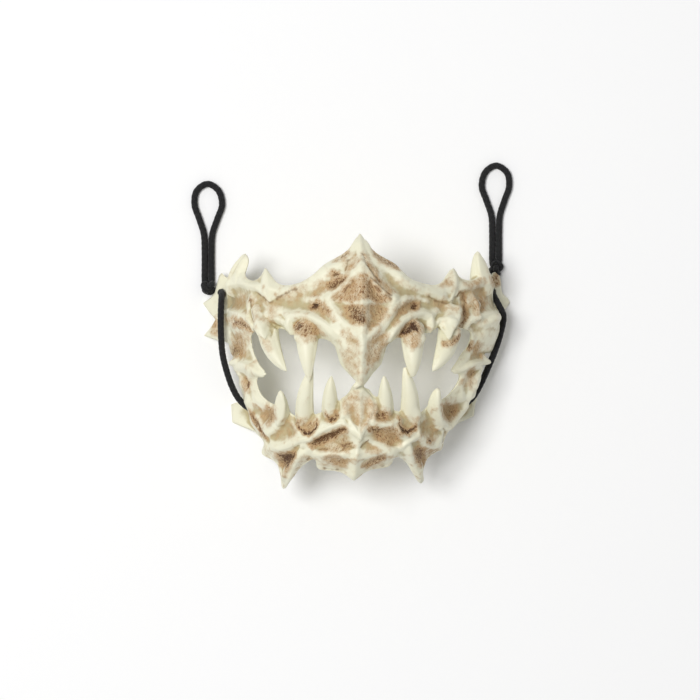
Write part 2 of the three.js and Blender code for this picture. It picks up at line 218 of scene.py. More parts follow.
def smooth_path(points, steps):
    """A curve through given points, as evenly spaced places"""
    points = np.asarray(points, float)
    ends = np.vstack([2 * points[0] - points[1], points, 2 * points[-1] - points[-2]])
    knots = np.concatenate([[0], np.cumsum(np.linalg.norm(np.diff(ends, axis=0), axis=1) ** 0.5)])
    fine = []
    for i in range(1, len(ends) - 2):
        t = np.linspace(knots[i], knots[i + 1], STRETCH_STEPS, endpoint=False)[:, None]

        def mixed(a, b, low, high):
            return a * (knots[high] - t) / (knots[high] - knots[low]) + b * (t - knots[low]) / (
                knots[high] - knots[low])

        first = [mixed(ends[i + j], ends[i + j + 1], i + j, i + j + 1) for j in (-1, 0, 1)]
        second = [mixed(first[j], first[j + 1], i + j - 1, i + j + 1) for j in (0, 1)]
        fine.append(mixed(second[0], second[1], i, i + 1))
    fine = np.vstack([*fine, points[-1:]])
    along = np.concatenate([[0], np.cumsum(np.linalg.norm(np.diff(fine, axis=0), axis=1))])
    even = np.linspace(0, along[-1], steps + 1)
    return np.column_stack([np.interp(even, along, fine[:, axis]) for axis in range(3)])


def to_metres(points):
    """Places of the source's drawing, in millimetres, in the frame"""
    return np.asarray(points, float) * MM + np.array(SHIFT)


def loop_route(knot):
    """The route of an ear loop, from its knot out, round and back"""
    outward = math.copysign(1, knot[0])
    return [(knot[0] + outward * x, knot[1] + y, LOOP_HEIGHT) for x, y in LOOP]


def path_length(path):
    """The length of a path in metres"""
    return float(np.linalg.norm(np.diff(path, axis=0), axis=1).sum())


for side, run in (("left", LEFT_RUN), ("right", RIGHT_RUN)):
    print(side, "run", round(path_length(smooth_path(to_metres(run), ROUGH_STEPS)) / MM, 1), "mm")

# %% [markdown]
# Six strands lean each way round the cord and take turns on top. The surface stands out along the
# upper one and dips where two of them meet, which gives braided elastic its look. A texture alone
# would leave the edge of the cord smooth, so the strands are shaped.

# %% Sweep a braided cord along a path
BRAID_SIDES = 24
BRAID_STEP = 0.35 * MM
BRAID_PITCH = 9 * MM
BRAID_STRANDS = 6
BRAID_DEPTH = 0.42 * MM
BRAID_LEVEL = 0.8
STRAND_FULLNESS = 0.6


def braid(turn, along):
    """How far the braid stands out, from 0 to 1, at turns round the cord and lengths along it"""
    one = turn * BRAID_STRANDS / (2 * math.pi) + along / BRAID_PITCH * BRAID_STRANDS
    other = turn * BRAID_STRANDS / (2 * math.pi) - along / BRAID_PITCH * BRAID_STRANDS
    over = np.sin(math.pi * (one + other) / 2) * np.sin(math.pi * (one - other) / 2) > 0
    strand = np.where(over, np.abs(np.sin(math.pi * one)), np.abs(np.sin(math.pi * other)))
    return strand ** STRAND_FULLNESS


def sweep(name, path, radius, closed=False):
    """A braided tube along a path, made by extruding a ring from step to step"""
    tangents = np.gradient(path, axis=0)
    if closed:
        tangents = np.roll(path, -1, axis=0) - np.roll(path, 1, axis=0)
    shape = bmesh.new()
    layer = shape.verts.layers.float_vector.new("round")
    bmesh.ops.create_circle(shape, segments=BRAID_SIDES, radius=1, cap_ends=False)
    edges = list(shape.edges)
    rings = [list(shape.verts)]
    for _ in path[1:]:
        grown = bmesh.ops.extrude_edge_only(shape, edges=edges)["geom"]
        edges = [part for part in grown if isinstance(part, bmesh.types.BMEdge)]
        rings.append(corners_in(grown))
    side = Vector(tangents[0]).orthogonal().normalized()
    turns = np.arange(BRAID_SIDES) * 2 * math.pi / BRAID_SIDES
    length = 0
    for step, ring in enumerate(rings):
        along = Vector(tangents[step]).normalized()
        side = (side - along * side.dot(along)).normalized()
        other = along.cross(side)
        length += float(np.linalg.norm(path[step] - path[step - 1])) if step else 0
        for turn, strand, corner in zip(turns, braid(turns, length), ring):
            stand = radius + BRAID_DEPTH * (strand - BRAID_LEVEL)
            out = side * math.cos(turn) + other * math.sin(turn)
            corner.co = Vector(path[step]) + out * stand
            corner[layer] = (turn / (2 * math.pi), length / MM, strand)
    if closed:
        bmesh.ops.bridge_loops(shape, edges=open_edges(shape))
    else:
        bmesh.ops.holes_fill(shape, edges=open_edges(shape), sides=0)
    bmesh.ops.recalc_face_normals(shape, faces=shape.faces)
    return as_object(name, shape)


# %% [markdown]
# An overhand knot pulled tight is a trefoil: a closed path with three lobes, which goes over and
# under itself in turn. Its own cord is swept along that path, a little thinner than the free cord
# because a tight knot squeezes it. What would reach below the floor is pressed flat on it, as a
# soft knot lies on a table.

# %% Make the cords and their knots
KNOT_CORD = 1.6 * MM
KNOT_SIZES = {"ear_knot": 3.1 * MM, "stopper_knot": 2.5 * MM}
KNOT_TURNS = {"left": 0.9, "right": 2.3}
KNOT_AXIS = (1, 1, 0.4)
KNOT_STEPS = 120
KNOT_BULK = 1.6
KNOT_REACH = 3


def overhand_knot(name, middle, size, turned):
    """A tight overhand knot round a middle point, turned to lie its own way"""
    t = np.linspace(0, 2 * math.pi, KNOT_STEPS, endpoint=False)
    path = np.column_stack([
        np.sin(t) + 2 * np.sin(2 * t), np.cos(t) - 2 * np.cos(2 * t), -KNOT_BULK * np.sin(3 * t)])
    axes = np.array(Matrix.Rotation(turned, 3, KNOT_AXIS))
    path = path * (size / KNOT_REACH) @ axes.T + np.array(middle)
    tied = sweep(name, path, KNOT_CORD, closed=True)
    press_flat(tied.data)
    return tied


def middle_of(node):
    """The middle of a CAD node"""
    low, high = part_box(node)
    return (low + high) / 2


cord_pieces = []
for side, run, knot in (("left", LEFT_RUN, LEFT_KNOT), ("right", RIGHT_RUN, RIGHT_KNOT)):
    for kind, route in (("side_cord", run), ("ear_loop", loop_route(knot))):
        route = to_metres(route)
        steps = int(path_length(smooth_path(route, ROUGH_STEPS)) / BRAID_STEP)
        path = smooth_path(route, steps)
        made = sweep(f"{kind}_{side}_braid", path, CORD / 2)
        end_knot = "stopper_knot" if kind == "side_cord" else "ear_knot"
        tied = overhand_knot(f"{end_knot}_{side}_tied", middle_of(f"{end_knot}_{side}"),
                             KNOT_SIZES[end_knot], KNOT_TURNS[side])
        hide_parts(f"{kind}_{side}")
        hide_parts(f"{end_knot}_{side}")
        cord_pieces.append((kind, side, made, tied, path))
        print(made.name, round(path_length(path) / MM, 1), "mm,", len(made.data.polygons), "faces")

for kind, side, made, tied, path in cord_pieces:
    for piece in (made, tied):
        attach(piece, "root")

# %% [markdown]
# ## The shell of the casting
#
# The casting follows a face: a shell bent round it like a barrel. Its half widths and depths at
# heights up the face are the driving sizes, the same as in the solid model. A place on it is a turn
# across, from -1 to 1, and a height. Everything else, such as crests, pits and mouth, is drawn on
# that shell.

# %% The shell
HALF_WIDTHS = [
    (-68, 46), (-50, 53), (-40, 56), (-30, 58.5), (-20, 62), (-10, 65.5), (0, 68), (12, 69.5),
    (72, 71),
]
DEPTHS = [
    (-68, 60), (-60, 67), (-48, 76), (-36, 81), (-15, 84), (12, 84), (40, 80), (60, 74), (72, 70),
]
SQUARENESS = 2.2
QUARTER_LENGTH = 122
WALL = 4.2
FACE_LOW = -72
FACE_HIGH = 72
NOSE = [(-13, 1), (-12, 6), (-6, 9), (10, 14), (32, 15), (50, 11), (62, 5), (70, 2)]
NOSE_REACH = 34
NOSE_CURVE = 1.3
NOSE_HOLLOW = 0.8
LEAN = [(-64, -3), (-30, -1), (0, 0)]
TILT = [(-64, 0.04), (-20, 0.022), (0, 0.018), (30, 0.004), (70, 0)]


def between(table, place):
    """Reads a table of pairs at many places, easing between its rows"""
    at = np.array([row[0] for row in table], float)
    value = np.array([row[1] for row in table], float)
    low = np.clip(np.searchsorted(at, place) - 1, 0, len(at) - 2)
    share = np.clip((place - at[low]) / (at[low + 1] - at[low]), 0, 1)
    return value[low] + (value[low + 1] - value[low]) * share * share * (3 - 2 * share)


def step_up(value, low, high):
    """0 below low, 1 above high and eased between"""
    share = np.clip((value - low) / (high - low), 0, 1)
    return share * share * (3 - 2 * share)


def shell_at(turn, y, inset):
    """Points on the shell and the ways out of it"""
    angle = turn * math.pi / 2
    width = between(HALF_WIDTHS, y) - inset
    depth = between(DEPTHS, y) - inset
    across = np.abs(np.sin(angle)) ** (2 / SQUARENESS)
    forward = np.abs(np.cos(angle)) ** (2 / SQUARENESS)
    side = np.sign(turn)
    out = np.column_stack([side * across ** (SQUARENESS - 1) / width, np.zeros_like(y),
                           forward ** (SQUARENESS - 1) / depth])
    out /= np.linalg.norm(out, axis=1)[:, None]
    return np.column_stack([side * width * across, y, depth * forward]), out


def turn_of(x, y):
    """The turn at which the shell stands a given way across"""
    share = np.minimum(1, np.abs(x) / between(HALF_WIDTHS, y))
    return 2 / math.pi * np.arcsin(share ** (SQUARENESS / 2))


def askew(points):
    """The jaw was cast a little askew: it leans aside, and one side sits higher"""
    moved = points.copy()
    moved[:, 0] += between(LEAN, points[:, 1])
    moved[:, 1] += points[:, 0] * between(TILT, points[:, 1])
    return moved


def nose_at(x, y):
    """How far the nose and beak stand forward"""
    return between(NOSE, y) * np.maximum(0, 1 - np.abs(x) / NOSE_REACH) ** NOSE_CURVE


# %% [markdown]
# ## Outline, crests and hollows
#
# Bone grows in sharp crests with hollows scooped between them. Sculpting them by hand isn't
# repeatable, and a texture couldn't show them from the side. So each crest is a line of places with
# heights, and the surface falls away from the nearest one on both sides in a hollow curve.

# %% Outline and crests
RIM = [
    (0, 68.5), (6.9, 59.5), (19, 52.1), (20.8, 50.2), (26.1, 45.1), (35.2, 41.7), (41.2, 41.3),
    (44.8, 43.2), (47.2, 46.5), (50.4, 50), (52.5, 47.8), (54.7, 45), (57.8, 44.2), (61.7, 47.1),
    (62.3, 51.3), (61.6, 55.8), (63.2, 58.6), (67.7, 54.7), (70.8, 49.8), (72, 46), (96, 44),
]
JAW_EDGE = [
    (96, -34), (66, -34), (58.2, -36.8), (52.2, -40), (49.5, -43.2), (50.2, -49.2), (44.6, -52.1),
    (41, -54.4), (39.5, -59.1), (37.7, -68.4), (32.7, -62.1), (29, -56.6), (25.4, -53.3),
    (21.6, -51.5), (20.3, -55.7), (18.7, -57.3), (7.9, -59), (0, -63.7),
]
INNER_CORNERS = {
    -1: [(3.7, -12.8), (2.3, -10.4), (3.8, -8.9)],
    1: [(3, -14), (1.7, -12.8), (2.9, -11.2)],
}
MOUTH = [
    (6.1, -6.5), (10.7, -1.2), (12.6, 4.6), (14.2, 8.9), (17.7, 11.7), (30, 14), (36, 15.5),
    (40, 17.4), (48, 19), (57.2, 16), (57.8, 12.4), (56.7, 6.3), (53.7, -0.2), (50.2, -6.1),
    (54.5, -8), (53.5, -13.7), (50.9, -18), (46, -21.5), (40, -23), (33, -28.5), (27, -28.5),
    (19.9, -26.5), (13, -24), (9.6, -19.3), (7.3, -17.7), (4.8, -14.6),
]
BACK_EDGE = [
    (-80, 30), (-62, 26), (-44, 12), (-36, 3), (-22, 3), (-14, 15), (-6, 20), (0, 18), (8, 10),
    (13, 5), (34, 5), (39, 7), (47, 9), (56, 26), (80, 40),
]
CRESTS = [
    ([(0, 69, 3), (0, 51, 5), (0, 33, 5), (0, 11, 5), (0, -12, 4)], 9),
    ([(0, 51, 4), (4, 47, 4), (10, 39, 5), (16.5, 33, 6)], 8),
    ([(17.5, 30.6, 6), (15, 26, 6), (11.7, 18, 4), (6.4, 15.7, 4), (0, 11, 4)], 8),
    ([(25, 33, 3), (21.3, 31.7, 5), (17, 27, 5)], 7),
    ([(20.8, 49, 4), (26.6, 43, 5), (35.2, 39.6, 5), (43, 39, 5), (49.4, 40, 6), (50.4, 49, 4)],
     11),
    ([(48.3, 32.6, 3), (49.6, 41, 6)], 8),
    ([(49.4, 41, 5), (57.8, 41.5, 4), (63, 46, 5)], 8),
    ([(63, 58.5, 3), (64.3, 51, 6), (66.6, 44, 6), (69, 41, 4)], 9),
    ([(69.6, 46, 3), (70, 38, 3), (69.6, 33, 3)], 9),
    ([(57.2, 36.6, 3), (58.4, 30.6, 5), (57.8, 23.6, 5), (54.4, 16, 4)], 7),
    ([(69.6, 26.2, 4), (68, 24, 6), (63.6, 22.1, 6), (58.9, 18.8, 5)], 10),
    ([(38.4, 15.8, 3), (40.6, 21.2, 5), (44, 24.5, 6), (48.3, 25.3, 6), (52.7, 23.5, 5)], 8),
    ([(36.8, 14.2, 4), (37.9, 19.6, 6), (35.7, 23.3, 6), (31, 25, 6), (24.4, 23.8, 6), (19, 20, 6),
     (15, 15.2, 5)], 8),
    ([(35.7, 23.3, 5), (41, 27, 4), (44, 24.5, 5)], 7),
    ([(50, -6, 3), (57.4, -3.4, 6), (64, -0.4, 6), (67.5, 0.4, 5)], 9),
    ([(68, 22, 4), (68.5, 12, 3), (67.5, 0.4, 4)], 7),
    ([(41.8, -17, 3), (42.4, -23.2, 5), (44.2, -31.4, 6), (48.3, -38.1, 6), (51.7, -34, 6),
     (55.1, -28.5, 6), (57, -20, 4), (61, -10, 4), (64, -2, 4)], 8),
    ([(48.3, -38.1, 5), (49.4, -48, 3)], 7),
    ([(48.3, -39.2, 5), (45, -46.3, 6), (38.8, -45.4, 6), (32.1, -40.9, 6)], 8),
    ([(37.5, -68, 3), (36.3, -62, 6), (33, -55, 6), (28.4, -49.5, 5), (24.1, -46, 5),
     (27.8, -42, 5), (31, -40.3, 5)], 8),
    ([(31, -40.3, 5), (24, -40.7, 5), (18.6, -35.3, 5), (10.6, -33.1, 5), (7, -33.1, 5)], 6),
    ([(9.5, -20, 4), (8.5, -26.7, 5), (7, -33.1, 5), (0, -40, 6)], 6),
    ([(21.4, -49.9, 5), (15, -48.7, 5), (7.5, -48.7, 5), (0, -48.1, 6)], 7),
    ([(0, -40, 5), (0, -52, 8), (0, -63.4, 4)], 9),
]
PITS = [
    (13, 41.5, 2.2, 5.5, 4.5), (26.6, 30.2, 1.2, 4, 3), (28.7, 16.5, 1.8, 5, 4),
    (66, 32, 1.5, 6, 6), (66, 7, 1.2, 5, 7), (50.4, -28.3, 1.6, 2.5, 4), (37.6, -36.5, 1.5, 5, 4),
    (37.8, -53.7, 2.2, 4.5, 5), (11, -40, 1.5, 4.5, 2.5), (20.2, -45, 1.5, 3.5, 2.5),
    (5, 24, 1.6, 4, 6),
]
CREST_CURVE = 1.4
EDGE_CURVE = 1.5
EDGE_WIDTH = 4.5
EDGE_DROP = 2.2
DEEPEST = -3
SOFTENED = 0.6


def near_stretch(x, y, a, b):
    """The share of a stretch up to its point nearest to each place, and how far off that is"""
    dx, dy = b[0] - a[0], b[1] - a[1]
    share = np.clip(((x - a[0]) * dx + (y - a[1]) * dy) / (dx * dx + dy * dy), 0, 1)
    return share, np.hypot(x - a[0] - share * dx, y - a[1] - share * dy)


def near_line(x, y, line):
    """How far places are from a line of stretches"""
    least = np.full(x.shape, np.inf)
    for a, b in zip(line, line[1:]):
        least = np.minimum(least, near_stretch(x, y, a, b)[1])
    return least


def relief(turn, x, y):
    """How far the outer surface stands out of the shell"""
    along, across = np.abs(turn) * QUARTER_LENGTH, np.abs(x)
    crest = np.zeros_like(y)
    for line, spread in CRESTS:
        flat = [(float(turn_of(np.array([px]), np.array([py]))[0]) * QUARTER_LENGTH, py, h)
                for px, py, h in line]
        for a, b in zip(flat, flat[1:]):
            share, far = near_stretch(along, y, a, b)
            height = a[2] + (b[2] - a[2]) * share
            crest = np.maximum(crest, height * np.maximum(0, 1 - far / spread) ** CREST_CURVE)
    hollow = np.zeros_like(y)
    for pit_x, pit_y, depth, wide, tall in PITS:
        bowl = np.exp(-((across - pit_x) / wide) ** 2 - ((y - pit_y) / tall) ** 2)
        hollow = np.maximum(hollow, SOFTENED * depth * bowl)
    edge = np.minimum(near_line(across, y, RIM + JAW_EDGE), near_line(across, y, MOUTH + MOUTH[:1]))
    thinning = EDGE_DROP * np.maximum(0, 1 - edge / EDGE_WIDTH) ** EDGE_CURVE
    return np.maximum(SOFTENED * crest - hollow - thinning, DEEPEST) + nose_at(x, y)


def hollow_nose(turn, x, y):
    """The nose is hollow behind, following its front at a lesser depth"""
    return NOSE_HOLLOW * nose_at(x, y)


# %% [markdown]
# A grid is bent onto the shell, its edge is pulled back to a skirt, and the skirt is closed below.
# One such block for the outside less one for the inside leaves the wall. Outlines are cut by
# columns through the whole block. The two halves of the outline mirror each other, so only one is
# drawn.

# %% Blocks and columns
OUTER_GRID = (340, 200)
INNER_GRID = (60, 40)
OUTER_SKIRT = -12
INNER_SKIRT = -20
INNER_BEYOND = 10
OUTLINE_STEP = 0.6


def dome(name, grid, inset, skirt, beyond, stand_off):
    """A closed block whose top stands off the shell by a function"""
    half, middle = (FACE_HIGH - FACE_LOW) / 2 + beyond, (FACE_HIGH + FACE_LOW) / 2
    shape = bmesh.new()
    bmesh.ops.create_grid(shape, x_segments=grid[0], y_segments=grid[1], size=1)
    flat = np.array([corner.co for corner in shape.verts])
    turn, y = np.clip(flat[:, 0], -1, 1), middle + flat[:, 1] * half
    point, out = shell_at(turn, y, inset)
    point += out * stand_off(turn, point[:, 0], y)[:, None]
    for corner, place in zip(shape.verts, to_metres(askew(point))):
        corner.co = place
    grown = bmesh.ops.extrude_edge_only(shape, edges=open_edges(shape))["geom"]
    for corner in corners_in(grown):
        corner.co.z = skirt * MM
    bmesh.ops.holes_fill(shape, edges=open_edges(shape), sides=0)
    bmesh.ops.recalc_face_normals(shape, faces=shape.faces)
    return as_object(name, shape)


def cavity():
    """A block as large as the hollow behind the wall"""
    return dome("inside", INNER_GRID, WALL, INNER_SKIRT, INNER_BEYOND, hollow_nose)


def column(name, outline, low, high, cast=True):
    """A column along Z over a closed outline"""
    shape = bmesh.new()
    flat = np.column_stack([np.asarray(outline, float), np.full(len(outline), float(low))])
    corners = [shape.verts.new(place) for place in to_metres(askew(flat) if cast else flat)]
    floor = shape.faces.new(corners)
    grown = bmesh.ops.extrude_face_region(shape, geom=[floor])["geom"]
    bmesh.ops.translate(shape, verts=corners_in(grown), vec=(0, 0, (high - low) * MM))
    bmesh.ops.recalc_face_normals(shape, faces=shape.faces)
    return as_object(name, shape)


def curved(outline, closed=True):
    """An outline with its corners eased by a curve through them"""
    points = [(x, y, 0) for x, y in outline]
    if closed:
        points.append(points[0])
    count = int(path_length(np.asarray(points, float)) / OUTLINE_STEP)
    eased = smooth_path(points, count)[:, :2]
    return eased[:-1] if closed else eased


half_outline = curved(RIM[:-1], closed=False).tolist() + [RIM[-1], JAW_EDGE[0]]
half_outline += curved(JAW_EDGE[1:], closed=False).tolist()
whole_outline = half_outline + [(-x, y) for x, y in half_outline[-2:0:-1]]
print("outline of", len(whole_outline), "corners")

# %% [markdown]
# ## Fangs, spikes and fins
#
# A fang is a ball stretched along a bent middle line, with a radius that tapers to the tip. A cone
# would end in a flat root, and the ball's round end sinks smoothly into the jaw instead. The
# photograph shows where each root, bend and tip lies across and down, and a height above the floor
# puts it in depth.

# %% Fangs and spikes: root, bend and tip in pixels with a height in mm, then half sizes in mm
FANG = (2.2, 0.75)
CANINE = (1.4, 0.75)
BLUNT = (2, 0.6)
SPIKE = (1.2, 1)
HORNS = {
    "left canine": ((308, 320, 77), (305.5, 350, 89), (309.5, 383, 85), 7.2, 6, CANINE),
    "right canine": ((412, 320, 77), (413, 350, 89), (413, 377.5, 85), 6.6, 6, BLUNT),
    "left outer fang": ((268, 326, 61), (268, 350, 73), (287, 372, 77), 5.8, 5, FANG),
    "right outer fang": ((450, 326, 61), (449, 350, 73), (432, 372, 77), 6.4, 5, FANG),
    "left sheath": ((266, 308, 50), (262, 325, 68), (264.5, 341, 74), 8.5, 5, SPIKE),
    "right sheath": ((446, 306, 60), (447, 323, 72), (450, 342, 77), 9.5, 5, SPIKE),
    "left lower canine": ((306, 428, 65), (301, 396, 82), (313, 366, 84), 5.3, 5, FANG),
    "right lower canine": ((408, 428, 65), (414, 396, 82), (403.5, 366, 84), 5.6, 5, FANG),
    "left inner fang": ((331, 421, 73), (328.7, 397, 86), (331.5, 375, 89), 4.8, 4.5, FANG),
    "right inner fang": ((385, 421, 73), (386, 397, 86), (384, 374.5, 89), 4.8, 4.5, FANG),
    "left corner fang": ((284, 424, 58), (280.5, 405, 71), (281, 391, 73), 4.6, 4, BLUNT),
    "right corner fang": ((436, 430, 50), (433, 406, 71), (437, 388, 73), 5, 4, BLUNT),
    "left rim spike": ((238, 297, 24), (230, 270, 34), (246.5, 252.5, 33), 6.5, 2.6, SPIKE),
    "right rim spike": ((480, 297, 30), (482, 274, 43), (476, 252, 41), 6.6, 5, BLUNT),
    "left cheek spike": ((245, 360, 34), (237, 362, 30), (228, 365, 27), 5, 6, SPIKE),
    "right cheek spike": ((473, 357, 32), (482, 360, 28), (491, 362.5, 24), 5, 6, SPIKE),
}
ROOT_ROUNDING = 0.12
HORN_GRID = (32, 40)


def horn(name):
    """A bent horn that tapers to its tip"""
    *spine, wide, deep, taper = HORNS[name]
    a, b, c = [np.array(place_seen(*point)) / MM for point in spine]
    shape = bmesh.new()
    bmesh.ops.create_uvsphere(shape, u_segments=HORN_GRID[0], v_segments=HORN_GRID[1], radius=1)
    ball = np.array([corner.co for corner in shape.verts])
    share = (ball[:, 2] + 1) / 2
    girth = (1 - share ** taper[0]) ** taper[1] * np.minimum(1, (share / ROOT_ROUNDING)) ** 0.5
    late, early = share[:, None], (1 - share)[:, None]
    middle = a * early ** 2 + b * (2 * late * early) + c * late ** 2
    along = (b - a) * early + (c - b) * late
    along /= np.linalg.norm(along, axis=1)[:, None]
    across = np.column_stack([-along[:, 1], along[:, 0], np.zeros(len(along))])
    across /= np.linalg.norm(across, axis=1)[:, None]
    forward = np.cross(across, along)
    ways = ball[:, :2] / np.maximum(np.hypot(ball[:, 0], ball[:, 1]), 1e-9)[:, None]
    aside, ahead = ways[:, 0] * girth * wide, ways[:, 1] * girth * deep
    places = middle + across * aside[:, None] + forward * ahead[:, None]
    for corner, place in zip(shape.verts, places * MM):
        corner.co = place
    bmesh.ops.recalc_face_normals(shape, faces=shape.faces)
    return as_object(name, shape)


# %% [markdown]
# The fins are thin blades at the sides, two at the level of the eyes and two at the jaw. Each is a
# flat column over its outline, tilted so that its outermost tip is the lowest. The mask rests on
# those tips, so each fin is sunk a little below the floor and cut off there later, which leaves a
# small flat to stand on.

# %% Fins: outlines in mm, how steeply each falls to its tip, and how deep it is sunk in mm
FIN_THICK = 4.5
LEFT_REAR_FIN = [
    (-66, 44), (-72.8, 47.5), (-74.6, 49.6), (-76.2, 47.8), (-78.6, 38.3), (-81.4, 35.5),
    (-85.3, 32.8), (-81.5, 27.5), (-78.2, 23.8), (-80.8, 19.5), (-84.8, 15.2), (-76.5, 12.4),
    (-66, 11),
]
RIGHT_REAR_FIN = [
    (66, 44), (75.6, 46.6), (76.4, 49), (78.6, 50.2), (80.8, 48.4), (81.8, 44), (82, 40),
    (82.8, 37.4), (86, 34.8), (87, 32.4), (84.6, 29.3), (80.5, 26), (78.5, 20), (76.5, 12.4),
    (66, 11),
]
LEFT_LOWER_FIN = [
    (-57, -18), (-62, -20.5), (-68.6, -22.6), (-67.8, -32.6), (-58, -36.6), (-54.5, -38),
]
RIGHT_LOWER_FIN = [(-x, y) for x, y in LEFT_LOWER_FIN]
FINS = [
    (LEFT_REAR_FIN, 0.65, 1.5),
    (RIGHT_REAR_FIN, 0.65, 1.5),
    (LEFT_LOWER_FIN, 0.5, 1.4),
    (RIGHT_LOWER_FIN, 0.5, 1.4),
]


def fin(outline, slope, sunk):
    """A fin whose faces slope down to its outermost tip, sunk a little below the floor"""
    tip = max(abs(x) for x, _ in outline)
    made = column("fin", outline, 0, FIN_THICK)
    places = corners_of(made.data)
    leant = between(LEAN, places[:, 1] / MM - SHIFT.y / MM)
    places[:, 2] += ((tip - np.abs(places[:, 0] / MM - leant)) * slope - sunk) * MM
    place_corners(made.data, places)
    return made


# %% [markdown]
# ## Joining the casting
#
# The outer block less the hollow is the wall. Tall columns cut its outline and the mouth. The back
# edge is cut by a column laid on its side, because that edge is wavy when the mask is seen from the
# side.

# %% Cut the wall
BELOW, ABOVE = -30, 160
ASIDE = 120

casting = dome("mask_cast", OUTER_GRID, 0, OUTER_SKIRT, 0, relief)
combine(casting, cavity(), "DIFFERENCE")
combine(casting, column("outline", whole_outline, BELOW, ABOVE), "INTERSECT")
for side in (1, -1):
    mouth = curved([(side * x, y) for x, y in MOUTH + INNER_CORNERS[side]])
    combine(casting, column("mouth", mouth, BELOW, ABOVE), "DIFFERENCE")
kept = curved(BACK_EDGE, closed=False).tolist()
kept += [(BACK_EDGE[-1][0], ABOVE), (BACK_EDGE[0][0], ABOVE)]
ahead = column("ahead", kept, -ASIDE, ASIDE, cast=False)
places = corners_of(ahead.data) - np.array(SHIFT)
place_corners(ahead.data, places[:, [2, 0, 1]] + np.array(SHIFT))
combine(casting, ahead, "INTERSECT")
print("wall:", len(casting.data.vertices), "corners")

# %% [markdown]
# The real casting isn't quite even: the tops of both rim spikes lean to the right, and the right
# cheek stands further out than the left. Drawing the two halves apart would double every table.
# Moving the corners of the cut wall sideways does the same and keeps it closed.

# %% Lean the tops and widen the right cheek
LEAN_BY = 2.2
LEFT_TOP = ((48, 56), (45, 54))
RIGHT_TOP = ((50, 60), (28, 44))
RIGHT_FLARE = [
    (-37, 0), (-30, 6), (-17, 6.5), (-10, 5), (-4, 3), (3, 1.5), (9, 6), (17, 7.8), (26, 7.5),
    (32, 7.5), (42, 3.5), (48, 2.8), (52, 1.9), (58, 0.8), (66, 0),
]
FLARE_STARTS = (50, 66)
FLARE_ENDS = (-80, -72)

places = corners_of(casting.data)
x, y = places[:, 0] / MM, places[:, 1] / MM
left_top = step_up(-x, *LEFT_TOP[0]) * step_up(y, *LEFT_TOP[1])
right_top = step_up(x, *RIGHT_TOP[0]) * step_up(y, *RIGHT_TOP[1])
flare = between(RIGHT_FLARE, y) * step_up(x, *FLARE_STARTS) * step_up(-x, *FLARE_ENDS)
places[:, 0] += (LEAN_BY * (left_top + right_top) + flare) * MM
place_corners(casting.data, places)
print("right cheek wider by up to", max(wider for _, wider in RIGHT_FLARE), "mm")

# %% [markdown]
# The fangs and spikes are cast with the wall, so they are joined to it. Their roots reach deeper
# than the wall is thick, so each is trimmed to the hollow first and the back stays plain. Then the
# fins are joined, holes are cut along the routes of the cords, and what lies below the floor is cut
# off.

# %% Add the fangs and fins, and cut the holes
HOLE = 4.3 * MM
HOLE_STEPS = 60
FLOOR_REACH = 100

for name in HORNS:
    combine(casting, combine(horn(name), cavity(), "DIFFERENCE"), "UNION")
for outline, slope, sunk in FINS:
    combine(casting, fin(outline, slope, sunk), "UNION")
for route in (LEFT_RUN, RIGHT_RUN):
    hole = sweep("hole", smooth_path(to_metres(route), HOLE_STEPS), HOLE / 2)
    combine(casting, hole, "DIFFERENCE")
square = [(x * FLOOR_REACH, y * FLOOR_REACH) for x, y in ((-1, -1), (1, -1), (1, 1), (-1, 1))]
combine(casting, column("above the floor", square, 0, ABOVE, cast=False), "INTERSECT")
print("joined:", len(casting.data.vertices), "corners")

# %% [markdown]
# The joints between the blocks are knife-sharp, and their faces are of all sizes. Small cubes
# remesh the whole. That gives even faces to carve and softens every joint by half a millimetre, as
# casting does.

# %% Remesh
VOXEL = 0.56 * MM

remesh = casting.modifiers.new("even faces", "REMESH")
remesh.mode = "VOXEL"
remesh.voxel_size = VOXEL
soften(casting, share=0.5, times=4)
settle(casting)
print("casting:", len(casting.data.vertices), "corners")

# %% [markdown]
# ## Fine carving
#
# The finer forms are read off the photograph, so they are drawn where they show in its frame: lines
# and outlines in its pixels. The first are low, rounded ridges, like the grain of a worn bone. As
# lines with a height and a width they can be moved one by one, which a sculpted mesh or a height
# texture doesn't allow.

